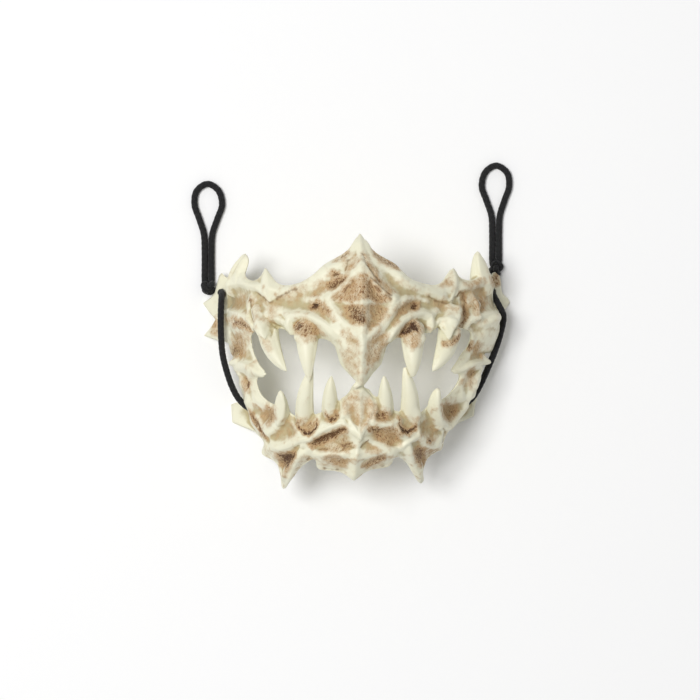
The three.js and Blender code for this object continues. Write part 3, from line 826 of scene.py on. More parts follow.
# %% Fine ridges: lines in the photograph's pixels, heights in mm and widths in pixels
UPPER_LEFT_RIDGES = [
    ([(357, 240), (352, 252), (343, 261), (333, 266), (323, 270), (313, 277), (305, 284)], 1.3, 7),
    ([(361, 264), (353, 273), (346, 281), (339, 289), (331, 297)], 1.6, 5),
    ([(331, 297), (327, 300), (320, 299), (312, 299), (306, 301)], 0.7, 5),
    ([(329, 300), (335, 311), (341, 320), (350, 327), (359, 335), (365, 340)], 1.8, 8),
    ([(330, 302), (335, 311), (338, 319), (339, 327)], 1.4, 5),
    ([(288, 316), (298, 315), (310, 317), (322, 322), (333, 329), (341, 336), (345, 346)], 2.2, 7),
    ([(289, 314), (288, 323), (291, 332), (297, 338)], 2, 5),
    ([(262, 330), (265, 322), (271, 319), (278, 318), (284, 321), (288, 329)], 1.5, 4),
    ([(257, 299), (254, 310), (256, 320), (260, 330)], 1.3, 5),
    ([(228, 285), (238, 283), (248, 284), (257, 288), (264, 294), (270, 301)], 1.5, 5),
    ([(270, 301), (277, 296), (286, 291), (296, 287)], 1.2, 5),
    ([(266, 270), (268, 280), (269, 290), (270, 301)], 1.5, 7),
    ([(244, 257), (239, 268), (236, 281)], 1.5, 6),
    ([(224, 309), (232, 312), (240, 314), (247, 318), (253, 325), (258, 332)], 2.4, 5.5),
    ([(253, 333), (253, 343), (257, 354), (262, 366), (266, 375)], 1.4, 5),
    ([(229, 362), (240, 363), (250, 367), (258, 373), (265, 376)], 2, 5),
    ([(250, 372), (252, 386), (257, 400)], 1, 6),
    ([(236, 370), (239, 384), (245, 402)], 2.5, 7),
    ([(231, 320), (231, 335), (231, 352)], 2, 8),
]
UPPER_RIGHT_RIDGES = [
    ([(366, 242), (373, 256), (383, 265), (394, 270), (402, 276)], 1.3, 6),
    ([(400, 277), (410, 284), (422, 290), (436, 294), (449, 300)], 1.4, 6),
    ([(453, 269), (455, 280), (454, 290), (450, 301)], 1.4, 6),
    ([(450, 302), (455, 296), (461, 289), (468, 287), (478, 285), (489, 283)], 1.3, 4),
    ([(477, 253), (478, 265), (481, 276), (484, 284)], 1.5, 6),
    ([(372, 281), (380, 289), (388, 296), (393, 302)], 1, 3),
    ([(394, 300), (390, 311), (384, 321), (375, 330), (366, 339)], 1.8, 7),
    ([(389, 339), (396, 328), (404, 320), (414, 315), (424, 313), (431, 316)], 2.1, 6),
    ([(431, 316), (432, 326), (428, 335), (422, 340)], 1.9, 5),
    ([(393, 303), (400, 301), (408, 298), (418, 298), (427, 301)], 1.2, 4),
    ([(432, 331), (436, 324), (441, 320), (448, 318), (456, 321)], 1.4, 4),
    ([(458, 298), (460, 313), (457, 327)], 1.2, 4),
    ([(500, 315), (492, 314), (480, 317), (472, 319), (467, 324), (461, 332)], 2.4, 6),
    ([(470, 331), (473, 342), (467, 356), (456, 369)], 1.4, 5),
    ([(488, 333), (487, 346), (490, 361)], 1.1, 5),
    ([(455, 371), (463, 369), (472, 365), (482, 362), (491, 362)], 2, 5),
    ([(464, 373), (461, 386), (462, 398)], 1, 6),
    ([(479, 368), (475, 382), (474, 396)], 2.8, 7),
    ([(494, 318), (492, 330), (486, 348)], 4.5, 9),
]
MIDDLE_RIDGES = [
    ([(360, 236), (361, 250), (362, 262)], 0.8, 13),
    ([(362, 262), (358, 268), (352, 273)], 1.5, 8),
    ([(362, 262), (366, 269), (371, 275)], 1.5, 8),
    ([(362, 262), (365, 276), (366, 290), (366, 301)], 0.9, 6),
    ([(366, 303), (366, 316), (365, 332), (362, 356), (360, 382)], 1.5, 7),
    ([(357, 385), (359, 400), (360, 418), (360, 436)], 1.2, 6),
    ([(360, 436), (358, 446), (357, 458), (354, 478)], 1.1, 12),
]
LOWER_LEFT_RIDGES = [
    ([(281, 393), (284, 404), (283, 415), (277, 427), (269, 434), (262, 429), (259, 418)],
     1.9, 4.5),
    ([(269, 434), (272, 441), (272, 449)], 1.4, 3.5),
    ([(273, 446), (280, 449), (290, 446), (299, 441), (306, 437)], 1.8, 6),
    ([(302, 446), (299, 458), (292, 471), (286, 486)], 1.8, 5),
    ([(274, 457), (280, 467), (284, 480)], 1, 4),
    ([(296, 427), (302, 436), (310, 438), (318, 431), (323, 424), (330, 426), (338, 423),
     (343, 416)], 1.4, 4),
    ([(300, 441), (309, 440), (318, 433), (330, 427), (342, 422), (350, 428), (359, 437)],
     1.7, 4.5),
    ([(310, 449), (322, 454), (334, 453), (346, 456), (357, 458)], 1.2, 5),
]
LOWER_RIGHT_RIDGES = [
    ([(438, 391), (438, 408), (441, 420), (447, 428), (451, 427), (457, 416), (466, 406)],
     1.9, 4.5),
    ([(420, 413), (417, 425), (419, 437), (427, 444), (436, 447), (440, 440), (442, 430)], 1.6, 4),
    ([(418, 436), (410, 440), (403, 446), (394, 449), (386, 448), (377, 445), (369, 440),
     (361, 438)], 1.7, 5),
    ([(408, 441), (410, 452), (415, 466), (423, 482)], 1.8, 5),
    ([(437, 446), (446, 451)], 1.2, 4),
    ([(398, 427), (402, 435), (409, 437), (416, 432)], 1.2, 3),
    ([(364, 430), (371, 421), (380, 424), (390, 425), (399, 421)], 1.5, 4),
    ([(357, 458), (368, 456), (378, 453), (388, 453), (397, 456)], 1.2, 5),
]
RIDGES = UPPER_LEFT_RIDGES + UPPER_RIGHT_RIDGES + MIDDLE_RIDGES
RIDGES += LOWER_LEFT_RIDGES + LOWER_RIGHT_RIDGES
BETWEEN_RIDGES = 0.7

# %% [markdown]
# Three areas stand up as plates with a clear edge: the middle of the chin, the bridge of the nose
# and the left temple. A ridge can't make a flat top, so each is an outline that is raised as a
# whole.

# %% Raised plates: outlines in pixels and heights in mm
PLATES = [
    ([(356, 381), (362, 386), (370, 393), (376, 401), (375, 412), (369, 426), (360, 441),
     (350, 427), (343, 415), (342, 403), (349, 391)], 2.2),
    ([(362, 260), (372, 272), (382, 287), (394, 301), (380, 306), (366, 306), (350, 306),
     (332, 302), (343, 287), (352, 272)], 0.9),
    ([(262, 297), (268, 304), (276, 301), (284, 306), (281, 314), (272, 316), (264, 322),
     (262, 335), (256, 322), (255, 308)], 0.9),
]

# %% [markdown]
# Cracks are thin lines in the cast, darker than the ground around them. Each is sunk a little and
# stained, and its line is made ragged by noise so that it doesn't look ruled.

# %% Cracks: lines in the photograph's pixels
CRACKS = [
    [(256, 292), (263, 297), (270, 303), (279, 297), (288, 292), (297, 289)],
    [(250, 299), (251, 309), (253, 320), (256, 331)],
    [(430, 297), (440, 302), (449, 303), (454, 298), (461, 292)],
    [(460, 292), (464, 295), (466, 305), (464, 320), (460, 334)],
    [(369, 281), (379, 290), (391, 299)],
    [(371, 278), (383, 288), (392, 296)],
    [(353, 281), (344, 292), (334, 301)],
    [(349, 259), (345, 270)],
    [(363, 254), (367, 266), (375, 276), (381, 282)],
    [(251, 414), (257, 423), (262, 431)],
    [(447, 430), (443, 437), (443, 445)],
    [(337, 443), (344, 446), (352, 443)],
    [(340, 450), (347, 447), (353, 448)],
    [(317, 449), (325, 448)],
    [(361, 447), (367, 440)],
    [(324, 469), (331, 471), (338, 471)],
    [(374, 471), (379, 470), (385, 467)],
    [(296, 477), (304, 466), (309, 459)],
]
CRACK_DEPTH = 0.4
CRACK_WIDTH = 1.3

# %% [markdown]
# The pits and stains are what gives the mask its look. Each patch is an outline that can be sunk,
# stained or both. Three stains are kept apart, from a tan wash to nearly black, because the real
# paint pools most where a pit is deepest. Four hollows under ridges take their tan, brown and dark
# as painted shade.

# %% Pits and stains: outlines in pixels, depth in mm, then how tan, brown and dark they are
PATCHES = [
    ("left brow blot", [(331, 275), (333, 272), (338, 272), (339, 275), (336, 277), (332, 277)],
     0.8, 1, 1, 0.5),
    ("left brow pit", [(325, 287), (327, 282), (333, 279), (340, 275), (349, 276), (347, 281),
     (341, 286), (335, 290), (329, 290)], 1, 1, 0.8, 0.3),
    ("left brow wash", [(344, 268), (350, 258), (362, 256), (362, 262), (352, 272), (346, 276)],
     0, 0.6, 0, 0),
    ("left rim", [(333, 262), (340, 256), (350, 250), (351, 253), (346, 259), (338, 262)],
     0.2, 0.7, 0.6, 0.2),
    ("left bridge", [(364, 274), (370, 281), (369, 299), (350, 303), (333, 300), (331, 298),
     (345, 286), (355, 277)], 0.3, 0.9, 0.15, 0),
    ("left of the pits", [(311, 292), (315, 283), (322, 279), (326, 282), (324, 292), (318, 298),
     (312, 297)], 0.2, 0.6, 0.15, 0),
    ("middle pit", [(343, 305), (352, 303), (367, 306), (369, 316), (366, 327), (352, 324),
     (347, 318)], 0.5, 0.9, 0.7, 0.45),
    ("right bridge", [(364, 304), (375, 303), (390, 306), (392, 312), (388, 318), (378, 328),
     (365, 333), (363, 316)], 0.4, 0.7, 0.35, 0.1),
    ("right triangle", [(363, 280), (371, 279), (381, 290), (391, 299), (386, 303), (377, 303),
     (364, 299)], 0.7, 0.9, 0.45, 0.1),
    ("right brow", [(374, 280), (381, 281), (390, 283), (393, 290), (390, 296), (382, 290)],
     0.3, 0.7, 0.3, 0.05),
    ("right stripe", [(362, 253), (366, 256), (372, 265), (378, 274), (381, 281), (374, 279),
     (367, 268)], 0.2, 0.7, 0.3, 0),
    ("right rim", [(371, 248), (375, 251), (388, 258), (398, 265), (399, 270), (392, 268),
     (380, 262), (373, 256)], 0.2, 0.8, 0.55, 0.15),
    ("left nostril", [(310, 307), (313, 303), (318, 303), (319, 306), (315, 309), (311, 310)],
     1.5, 1, 1, 0.9),
    ("under the left nostril", [(312, 302), (318, 300), (326, 304), (331, 311), (330, 317),
     (322, 314), (315, 310)], 0.7, 0.9, 0.45, 0.1),
    ("right nostril", [(411, 306), (414, 303), (419, 302), (419, 306), (415, 310), (411, 309)],
     1.2, 1, 1, 0.7),
    ("under the right nostril", [(394, 310), (400, 305), (410, 301), (420, 301), (418, 310),
     (408, 312), (397, 317)], 0.5, 0.75, 0.2, 0),
    ("left under-eye", [(262, 294), (270, 302), (281, 294), (291, 287), (308, 283), (309, 294),
     (290, 302), (278, 308), (265, 306), (258, 300)], 0.2, 0.5, 0.08, 0),
    ("left temple", [(246, 296), (257, 292), (263, 299), (265, 308), (258, 318), (252, 322),
     (251, 308)], 0.1, 0.45, 0.05, 0),
    ("left panel", [(231, 303), (236, 297), (246, 293), (248, 300), (243, 309), (234, 310)],
     0.4, 0.55, 0.2, 0),
    # Painted shadow: the tan, brown and dark of this pit stand for the shade under the ridge above.
    ("left cheek hollow", [(228, 319), (236, 318), (243, 320), (249, 325), (253, 332), (247, 331),
     (239, 327), (231, 324)], 1.2, 0.9, 0.7, 0.4),
    ("left cheek", [(230, 344), (235, 332), (242, 333), (246, 345), (245, 356), (240, 360),
     (231, 358)], 0.3, 0.7, 0.35, 0),
    ("left cheek blot", [(229, 348), (234, 344), (240, 345), (243, 352), (238, 359), (230, 357)],
     0.3, 0.9, 0.7, 0.25),
    ("left bar", [(241, 376), (246, 377), (250, 382), (249, 388), (246, 393), (243, 399),
     (239, 395), (237, 389), (242, 386), (243, 380)], 0.4, 0.7, 0.35, 0),
    ("left bar pit", [(246, 378), (250, 382), (249, 388), (247, 389), (247, 383)], 0.8, 1, 1, 0.7),
    ("left fin", [(211, 322), (216, 317), (219, 325), (218, 336), (209, 333)], 0, 0.7, 0.3, 0),
    ("left canine socket", [(294, 327), (298, 321), (305, 320), (312, 322), (319, 328), (322, 334),
     (314, 336), (305, 337), (297, 335)], 0.6, 0.9, 0.5, 0),
    ("left canine root", [(297, 333), (320, 333), (316, 341), (307, 344), (300, 341)],
     0, 0.5, 0.1, 0),
    ("left canine blot", [(294, 328), (297, 322), (303, 321), (304, 326), (300, 333), (296, 333)],
     0.4, 1, 0.9, 0.5),
    ("left canine speck", [(308, 323), (316, 326), (319, 332), (312, 331)], 0.3, 0.9, 0.6, 0.2),
    ("left beak", [(341, 328), (350, 328), (361, 340), (361, 376), (355, 378), (345, 368),
     (341, 350)], 0, 0.5, 0.1, 0),
    ("right beak", [(367, 340), (379, 330), (388, 334), (387, 345), (380, 359), (371, 370),
     (365, 375)], 0.2, 0.65, 0.2, 0),
    # Painted shade: the little tan in this pit stands for the shade under the brow.
    ("left fang hollow", [(269, 336), (270, 329), (276, 324), (286, 326), (285, 330), (276, 333),
     (272, 340)], 0.9, 0.15, 0, 0),
    ("over the left fang", [(259, 318), (266, 313), (276, 312), (283, 315), (274, 318), (264, 322)],
     0.2, 0.5, 0.1, 0),
    ("left fang sheath", [(261, 338), (268, 341), (272, 349), (269, 355), (264, 347)],
     0.2, 0.5, 0.1, 0),
    ("right under-eye", [(390, 278), (402, 281), (415, 286), (428, 291), (440, 302), (450, 304),
     (459, 295), (463, 301), (461, 311), (453, 315), (440, 312), (425, 305), (408, 299)],
     0.2, 0.3, 0.05, 0),
    ("right small spike", [(438, 286), (446, 280), (452, 272), (455, 277), (453, 285), (444, 288)],
     0.1, 0.55, 0.25, 0),
    ("right temple", [(459, 292), (464, 292), (468, 305), (467, 320), (461, 334), (458, 333),
     (462, 318), (463, 303)], 0.3, 0.8, 0.5, 0.1),
    ("right panel", [(468, 291), (476, 285), (484, 287), (486, 296), (489, 303), (484, 311),
     (474, 312), (468, 306)], 0.5, 0.6, 0.2, 0),
    ("right panel specks", [(477, 299), (485, 297), (487, 305), (482, 312), (476, 307)],
     0.1, 0.8, 0.45, 0),
    ("right spike foot", [(463, 282), (475, 281), (485, 277), (486, 281), (478, 285), (468, 288)],
     0.1, 0.6, 0.25, 0),
    ("right knob", [(491, 276), (496, 272), (500, 276), (500, 284), (495, 287), (492, 283)],
     0.1, 0.9, 0.6, 0),
    ("right canine socket", [(397, 335), (404, 325), (411, 319), (417, 320), (422, 328), (422, 334),
     (414, 332), (408, 336), (401, 338)], 1.1, 1, 1, 0.95),
    ("right canine root", [(400, 338), (410, 333), (421, 333), (421, 345), (414, 349), (406, 346)],
     0, 0.65, 0.2, 0),
    # Painted shade: the little tan in this pit stands for the shade under the brow.
    ("right fang hollow", [(434, 331), (438, 325), (444, 323), (446, 329), (441, 334), (436, 335)],
     0.9, 0.2, 0, 0),
    ("under the right cusp", [(443, 342), (452, 341), (460, 333), (463, 331), (459, 340),
     (452, 346), (444, 346)], 0.4, 0.9, 0.6, 0.1),
    # Painted shade: the tan here stands for the shade under the ridge above.
    ("right cheek hollow", [(466, 329), (469, 322), (478, 319), (497, 319), (495, 330), (484, 337),
     (472, 338)], 1.4, 0.3, 0.05, 0),
    ("right cheek pore", [(467, 347), (468, 343), (472, 342), (471, 348), (468, 350)],
     0.7, 1, 0.9, 0.3),
    ("right cheek", [(472, 345), (478, 341), (486, 345), (487, 352), (482, 359), (474, 357),
     (471, 351)], 0.3, 0.7, 0.35, 0),
    ("right bar", [(467, 370), (473, 367), (477, 371), (475, 378), (473, 385), (476, 391),
     (471, 389), (468, 382), (466, 375)], 0.4, 0.7, 0.4, 0.1),
    ("left jaw oval", [(263, 410), (267, 406), (272, 406), (275, 410), (275, 418), (272, 424),
     (268, 426), (264, 421), (262, 415)], 0.9, 0.8, 0.4, 0),
    ("left jaw crease", [(249, 411), (255, 417), (261, 425), (265, 433), (267, 440), (262, 436),
     (256, 428), (251, 419)], 0.5, 0.9, 0.75, 0.35),
    ("left jaw wash", [(277, 428), (283, 423), (293, 424), (298, 428), (297, 438), (290, 438),
     (283, 436), (276, 439), (274, 435)], 0.4, 0.5, 0.1, 0),
    ("left spike pit", [(275, 454), (284, 452), (297, 450), (297, 456), (290, 466), (287, 473),
     (283, 468), (279, 462)], 1.1, 1, 1, 0.7),
    ("left spike streak", [(297, 463), (305, 456), (309, 457), (301, 468), (293, 479), (295, 470)],
     0, 0.5, 0.15, 0),
    ("left canine crescent", [(297, 421), (301, 428), (308, 432), (314, 428), (317, 420),
     (317, 428), (311, 435), (305, 435), (299, 429)], 0.5, 1, 1, 0.8),
    ("left canine foot", [(300, 421), (306, 424), (315, 418), (315, 427), (309, 431), (302, 427)],
     0, 0.7, 0.5, 0.1),
    ("left inner fang foot", [(325, 413), (328, 416), (333, 417), (336, 412), (339, 417),
     (334, 422), (328, 422)], 0.5, 0.9, 0.85, 0.5),
    ("left long pit", [(309, 444), (315, 439), (331, 431), (345, 426), (348, 431), (333, 440),
     (322, 445), (312, 448)], 0.9, 1, 1, 0.5),
    ("left chin wash", [(316, 447), (330, 441), (345, 434), (350, 440), (356, 446), (350, 452),
     (335, 453), (322, 452)], 0, 0.62, 0.42, 0),
    ("left chin pit", [(321, 460), (328, 455), (340, 456), (348, 462), (346, 467), (335, 466),
     (326, 463)], 0.5, 0.8, 0.3, 0),
    ("plate left", [(342, 402), (350, 394), (357, 388), (360, 404), (360, 430), (351, 420),
     (344, 412)], 0, 0.6, 0.1, 0),
    ("plate right", [(362, 394), (368, 396), (376, 405), (374, 418), (367, 428), (362, 432)],
     0, 0.62, 0.1, 0),
    ("right inner fang foot", [(373, 412), (379, 410), (390, 411), (391, 415), (386, 421),
     (379, 422), (374, 417)], 0.5, 0.9, 0.65, 0.2),
    ("right long pit", [(368, 429), (377, 427), (398, 427), (401, 436), (400, 443), (394, 446),
     (383, 444), (374, 438)], 0.8, 0.85, 0.3, 0),
    ("right long pit, near end", [(368, 429), (377, 427), (384, 429), (380, 434), (372, 433)],
     0.2, 1, 0.8, 0.3),
    ("right canine crescent", [(399, 417), (402, 426), (408, 430), (416, 425), (416, 430),
     (409, 435), (402, 433), (398, 424)], 0.5, 1, 1, 0.8),
    ("right jaw wash", [(419, 420), (428, 420), (436, 425), (438, 433), (437, 441), (429, 443),
     (421, 436), (418, 428)], 0.5, 0.5, 0.2, 0),
    ("right jaw pore", [(428, 441), (430, 439), (432, 441), (430, 442)], 0.5, 1, 1, 0.8),
    ("right jaw oval", [(440, 404), (448, 402), (457, 405), (460, 410), (455, 417), (449, 423),
     (443, 419), (440, 411)], 0.8, 0.75, 0.4, 0),
    ("right spike pit", [(413, 449), (420, 446), (427, 449), (427, 457), (425, 466), (420, 467),
     (415, 459)], 1.1, 1, 0.7, 0.2),
    ("right spike knob", [(427, 451), (436, 449), (445, 451), (438, 456), (428, 458)],
     0.3, 0.7, 0.35, 0),
    ("right chin pit", [(362, 466), (370, 460), (380, 455), (386, 455), (385, 460), (376, 464),
     (368, 468)], 0.5, 0.9, 0.55, 0.1),
    ("right chin wash", [(366, 442), (375, 446), (383, 450), (378, 455), (366, 452)],
     0.1, 0.58, 0.15, 0),
]


# %% [markdown]
# Every corner of the casting knows where it shows in the photograph's frame. Only the ones that
# face outwards are carved, because the same pixel also covers the wall's inner face. The outlines
# are read at slightly shifted places, which gives them ragged edges.

# %% Where each corner shows, and how far inside each outline it is
RAGGED = 1.3
RAGGED_SIZE = 2.2
RAGGED_SHIFT = 31
BROAD = 14
MEAN_HALF_WIDTH = 69
MEAN_DEPTH = 82
OUTWARD = (0.05, 0.35)
UPWARD = (0.06, 0.22)


def noise_at(rows, size, offset=0):
    """Smooth noise at rows of x, y, z in metres, for grains of a size in mm"""
    scaled = rows / (size * MM) + offset
    return np.array([noise.noise(row) for row in scaled.tolist()])


def inside_by(x, y, outline):
    """How far inside a closed outline places are, negative outside"""
    closed = outline + outline[:1]
    inside = np.zeros(x.shape, bool)
    for (ax, ay), (bx, by) in zip(closed, closed[1:]):
        crosses = (ay > y) != (by > y)
        if ay != by:
            inside ^= crosses & (x < (bx - ax) * (y - ay) / (by - ay) + ax)
    far = near_line(x, y, closed)
    return np.where(inside, far, -far)


mesh = casting.data
pairs = np.empty(len(mesh.edges) * 2, np.int32)
mesh.edges.foreach_get("vertices", pairs)
pairs = pairs.reshape(-1, 2)
counts = np.bincount(pairs.ravel(), minlength=len(mesh.vertices))[:, None]


def spread_out(values, times=1):
    """Each corner's value becomes the mean of its own and its neighbours', some times over"""
    for _ in range(times):
        around = np.zeros_like(values)
        for axis in range(values.shape[1]):
            around[:, axis] = np.bincount(pairs[:, 0], values[pairs[:, 1], axis], len(values))
            around[:, axis] += np.bincount(pairs[:, 1], values[pairs[:, 0], axis], len(values))
        values = (values + around / counts) / 2
    return values


rows = corners_of(mesh)
normals = corners_of(mesh, "normal")
broad_normals = spread_out(normals, BROAD)
broad_normals /= np.linalg.norm(broad_normals, axis=1)[:, None]
own = (rows - np.array(SHIFT)) / MM
sideways = np.sign(own[:, 0]) * (np.abs(own[:, 0]) / MEAN_HALF_WIDTH) ** (SQUARENESS - 1)
forward = (np.maximum(own[:, 2], 0) / MEAN_DEPTH) ** (SQUARENESS - 1)
ways_out = np.column_stack([sideways / MEAN_HALF_WIDTH, np.zeros(len(own)), forward / MEAN_DEPTH])
ways_out /= np.linalg.norm(ways_out, axis=1)[:, None]
facing = step_up((normals * ways_out).sum(axis=1), *OUTWARD) * step_up(broad_normals[:, 2], *UPWARD)
px, py = seen(rows)
ragged_x = px + RAGGED * noise_at(rows, RAGGED_SIZE)
ragged_y = py + RAGGED * noise_at(rows, RAGGED_SIZE, RAGGED_SHIFT)
print("corners that face out:", int((facing > 0.5).sum()))

# %% [markdown]
# The highest ridge counts at each corner, so two that cross don't add up. The stain was wiped off
# the crests, so how worn a corner is comes from its ridges alone, before the plates are raised.

# %% Raise the ridges and plates, and open the cracks
RIDGE_REACH = 2
RIDGE_CURVE = 2.2
RIDGE_ROUNDING = 0.7
RIDGE_HEIGHT = 0.85
WORN = (0.5, 1.6)
PLATE_EDGE = (-0.5, 3)

lift = np.full(len(rows), -BETWEEN_RIDGES)
for line, height, spread in RIDGES:
    far = np.hypot(near_line(px, py, line), RIDGE_ROUNDING)
    rise = np.maximum(0, 1 - far / (RIDGE_REACH * spread)) ** RIDGE_CURVE
    lift = np.maximum(lift, (height + BETWEEN_RIDGES) * rise - BETWEEN_RIDGES)
lift *= RIDGE_HEIGHT
worn = step_up(lift, *WORN)
for outline, height in PLATES:
    lift += height * step_up(inside_by(px, py, outline), *PLATE_EDGE)
crack = np.zeros(len(rows))
for line in CRACKS:
    crack = np.maximum(crack, np.exp(-(near_line(ragged_x, ragged_y, line) / CRACK_WIDTH) ** 2))
print("lift from", round(float(lift.min()), 2), "to", round(float(lift.max()), 2), "mm")

# %% [markdown]
# A pit goes down from its outline over a few pixels and has a raised lip round it. The tan spreads
# past the outline, the brown a little, and the dark keeps to the pit. In the smallest patches the
# wall is made narrower, so that they still reach their full depth.

# %% Sink the pits and lay their stains
PIT_WALL = 6
WALL_SHARE = 0.9
LIP_OUT = 1
LIP_WIDTH = 1.2
TAN_PAST = 5
BROWN_PAST = 1.5
DARK_PAST = 0.5

tan, brown, dark, sunk, lip = np.zeros((5, len(rows)))
for _, outline, depth, tanned, browned, darkened in PATCHES:
    within = inside_by(ragged_x, ragged_y, outline)
    wall = min(PIT_WALL, WALL_SHARE * within.max())
    sunk = np.maximum(sunk, depth * step_up(within, 0, wall))
    lip = np.maximum(lip, min(1, depth) * np.exp(-((within + LIP_OUT) / LIP_WIDTH) ** 2))
    tan = np.maximum(tan, tanned * step_up(within, -TAN_PAST, wall / 2))
    brown = np.maximum(brown, browned * step_up(within, -BROWN_PAST, wall))
    dark = np.maximum(dark, darkened * step_up(within, -DARK_PAST, wall))
print("stained corners:", int((tan > 0.5).sum()), "tan,", int((brown > 0.5).sum()), "brown")

# %% [markdown]
# A thin wash of tan lies in the valleys between the ridges and in smudges. It is kept away from the
# mouth, from the upper rim and from the lowest parts, where the photograph shows little of it.

# %% Wash the valleys
VALLEY_WASH = 0.32
SMUDGES = 0.5
SMUDGE_LAYERS = [(7, 17, 1), (3, 19, 0.4)]
SMUDGED = (0.05, 0.45)
OFF_MOUTH = (-1, 2)
OFF_RIM = (1.5, 6)
OFF_FLOOR = (18, 30)


def layered(rows, layers):
    """Noise in layers, each with a grain in mm, a shift of its own and a share"""
    return sum(share * noise_at(rows, size, shift) for size, shift, share in layers)


across = np.abs(own[:, 0])
off_mouth = step_up(-inside_by(across, own[:, 1], MOUTH), *OFF_MOUTH)
wash = VALLEY_WASH * step_up(-lift, 0, BETWEEN_RIDGES) * off_mouth
smudged = step_up(layered(rows, SMUDGE_LAYERS), *SMUDGED)
off_rim = step_up(near_line(across, own[:, 1], RIM), *OFF_RIM)
wash = np.maximum(wash, SMUDGES * smudged * off_mouth * off_rim)
wash *= step_up(own[:, 2], *OFF_FLOOR)
print("mean wash", round(float(wash.mean()), 3))

# %% [markdown]
# The ridges and plates move the corners along normals evened out over a broad area, so that their
# sides don't fold. The finer forms move them along their own normals. A stained ground is also
# rougher than a wiped one.

# %% Move the corners
LIP_HEIGHT = 0.12
ROUGH_LAYERS = [(1.1, 7, 1), (0.6, 11, 0.6)]
ROUGHNESS_IN_PITS = 0.32
ROUGHNESS_IN_TAN = 0.4
WAVE_LAYERS = [(6, 3, 1)]
WAVE_HEIGHT = 0.18
LOWER_IN_TAN = 0.6

rough = ROUGHNESS_IN_PITS * layered(rows, ROUGH_LAYERS) * np.maximum(brown, ROUGHNESS_IN_TAN * tan)
broad_move = facing * lift * (1 - LOWER_IN_TAN * tan)
move = facing * (LIP_HEIGHT * lip - sunk - CRACK_DEPTH * crack + rough
                 + WAVE_HEIGHT * layered(rows, WAVE_LAYERS))
place_corners(mesh, rows + (broad_normals * broad_move[:, None] + normals * move[:, None]) * MM)
print("deepest carving", round(float((move + broad_move).min()), 2), "mm")

# %% [markdown]
# A light smoothing takes the cubes of the remesh out of the surface, without blunting the crests.
# How hollow each corner lies is then its distance below the same surface, evened out over many
# steps. The material paints shade in olive by it, deepest in the hollows.

# %% Smooth, and measure where the surface is hollow
WIDE = 120

soften(casting, share=0.35, times=2)
settle(casting)
mesh = casting.data
press_flat(mesh)
rows = corners_of(mesh)
soft = spread_out(rows, WIDE)
hollow = ((soft - rows) * corners_of(mesh, "normal")).sum(axis=1) / MM
print("hollow from", round(float(hollow.min()), 2), "to", round(float(hollow.max()), 2), "mm")

# %% [markdown]
# ## Stain and painted shade
#
# The real mask looks painted brown and then wiped: the stain stays in the hollows and pits and
# leaves the crests ivory. Five numbers at each corner say how tan, brown and dark it is, whether a
# crack runs there and how hollow it lies. The last is no stain: the material lays olive painted
# shade by it. The material mixes its colours by them and breaks their edges up with noise, so the
# marks are crisper than the mesh. A painted image would need the casting to be unwrapped, and it
# would stretch at the sides.

# %% Write the stain and the painted shade on the casting
TAN_WIPED = 0.55
BROWN_WIPED = 0.6
LEVEL = 0.5
HOLLOW_RANGE = 3

stain_and_shade = {
    "tan": facing * np.maximum(tan, wash) * (1 - TAN_WIPED * worn),
    "brown": facing * brown * (1 - BROWN_WIPED * worn),
    "crack": facing * crack,
    "dark": facing * dark,
    # Not stain: the hollow number lays olive painted shade in the material.
    "hollow": LEVEL + hollow / HOLLOW_RANGE,
}
for name, values in stain_and_shade.items():
    kept = mesh.attributes.new(name, "FLOAT", "POINT")
    kept.data.foreach_set("value", np.clip(values, 0, 1).astype(np.float32))
    print(name, "up to", round(float(values.max()), 2))

# %% [markdown]
# ## Materials
#
# The resin is a satin bone colour. Each stain is laid over the one before, where its number plus
# some noise passes a threshold, as real paint catches in a rough ground. Patterns read Object
# coordinates in metres, so the size of a grain is one over the scale.

# %% Shader helpers
def srgb(red, green, blue):
    """A colour as a picture editor gives it, from 0 to 255, made linear"""
    parts = [part / 255 for part in (red, green, blue)]
    linear = [part / 12.92 if part < 0.04 else ((part + 0.055) / 1.055) ** 2.4 for part in parts]
    return linear + [1]


def plug(tree, node, sockets):
    """Gives each named input of a shader node its value or its link"""
    for name, value in sockets.items():
        if isinstance(value, bpy.types.NodeSocket):
            tree.links.new(value, node.inputs[name])
        else:
            node.inputs[name].default_value = value


def put(tree, kind, sockets, **settings):
    """A shader node with its settings and its inputs"""
    made = tree.nodes.new("ShaderNode" + kind)
    for name, value in settings.items():
        setattr(made, name, value)
    plug(tree, made, sockets)
    return made


def calc(tree, operation, *values):
    """A number worked out from others"""
    return put(tree, "Math", dict(enumerate(values)), operation=operation).outputs[0]


def material(name):
    """A new material, its shader tree and the node of its surface"""
    made = bpy.data.materials.new(name)
    made.use_nodes = True
    return made, made.node_tree, made.node_tree.nodes["Principled BSDF"]


def grains(tree, size, detail=3, twist=0):
    """Noise on Object coordinates with grains of a size in mm"""
    place = put(tree, "TexCoord", {}).outputs["Object"]
    sockets = {"Vector": place, "Scale": 1 / (size * MM), "Detail": detail, "Distortion": twist}
    return put(tree, "TexNoise", sockets).outputs["Fac"]


def number(tree, name):
    """A number stored at the corners of the mesh"""
    return put(tree, "Attribute", {}, attribute_name=name).outputs["Fac"]


def broken(tree, amount, ground, spread, low, high):
    """Where an amount plus noise passes a threshold"""
    both = calc(tree, "ADD", amount, calc(tree, "MULTIPLY_ADD", ground, spread, -spread / 2))
    eased = put(tree, "MapRange", {"Value": both, "From Min": low, "From Max": high},
                interpolation_type="SMOOTHSTEP")
    return eased.outputs["Result"]


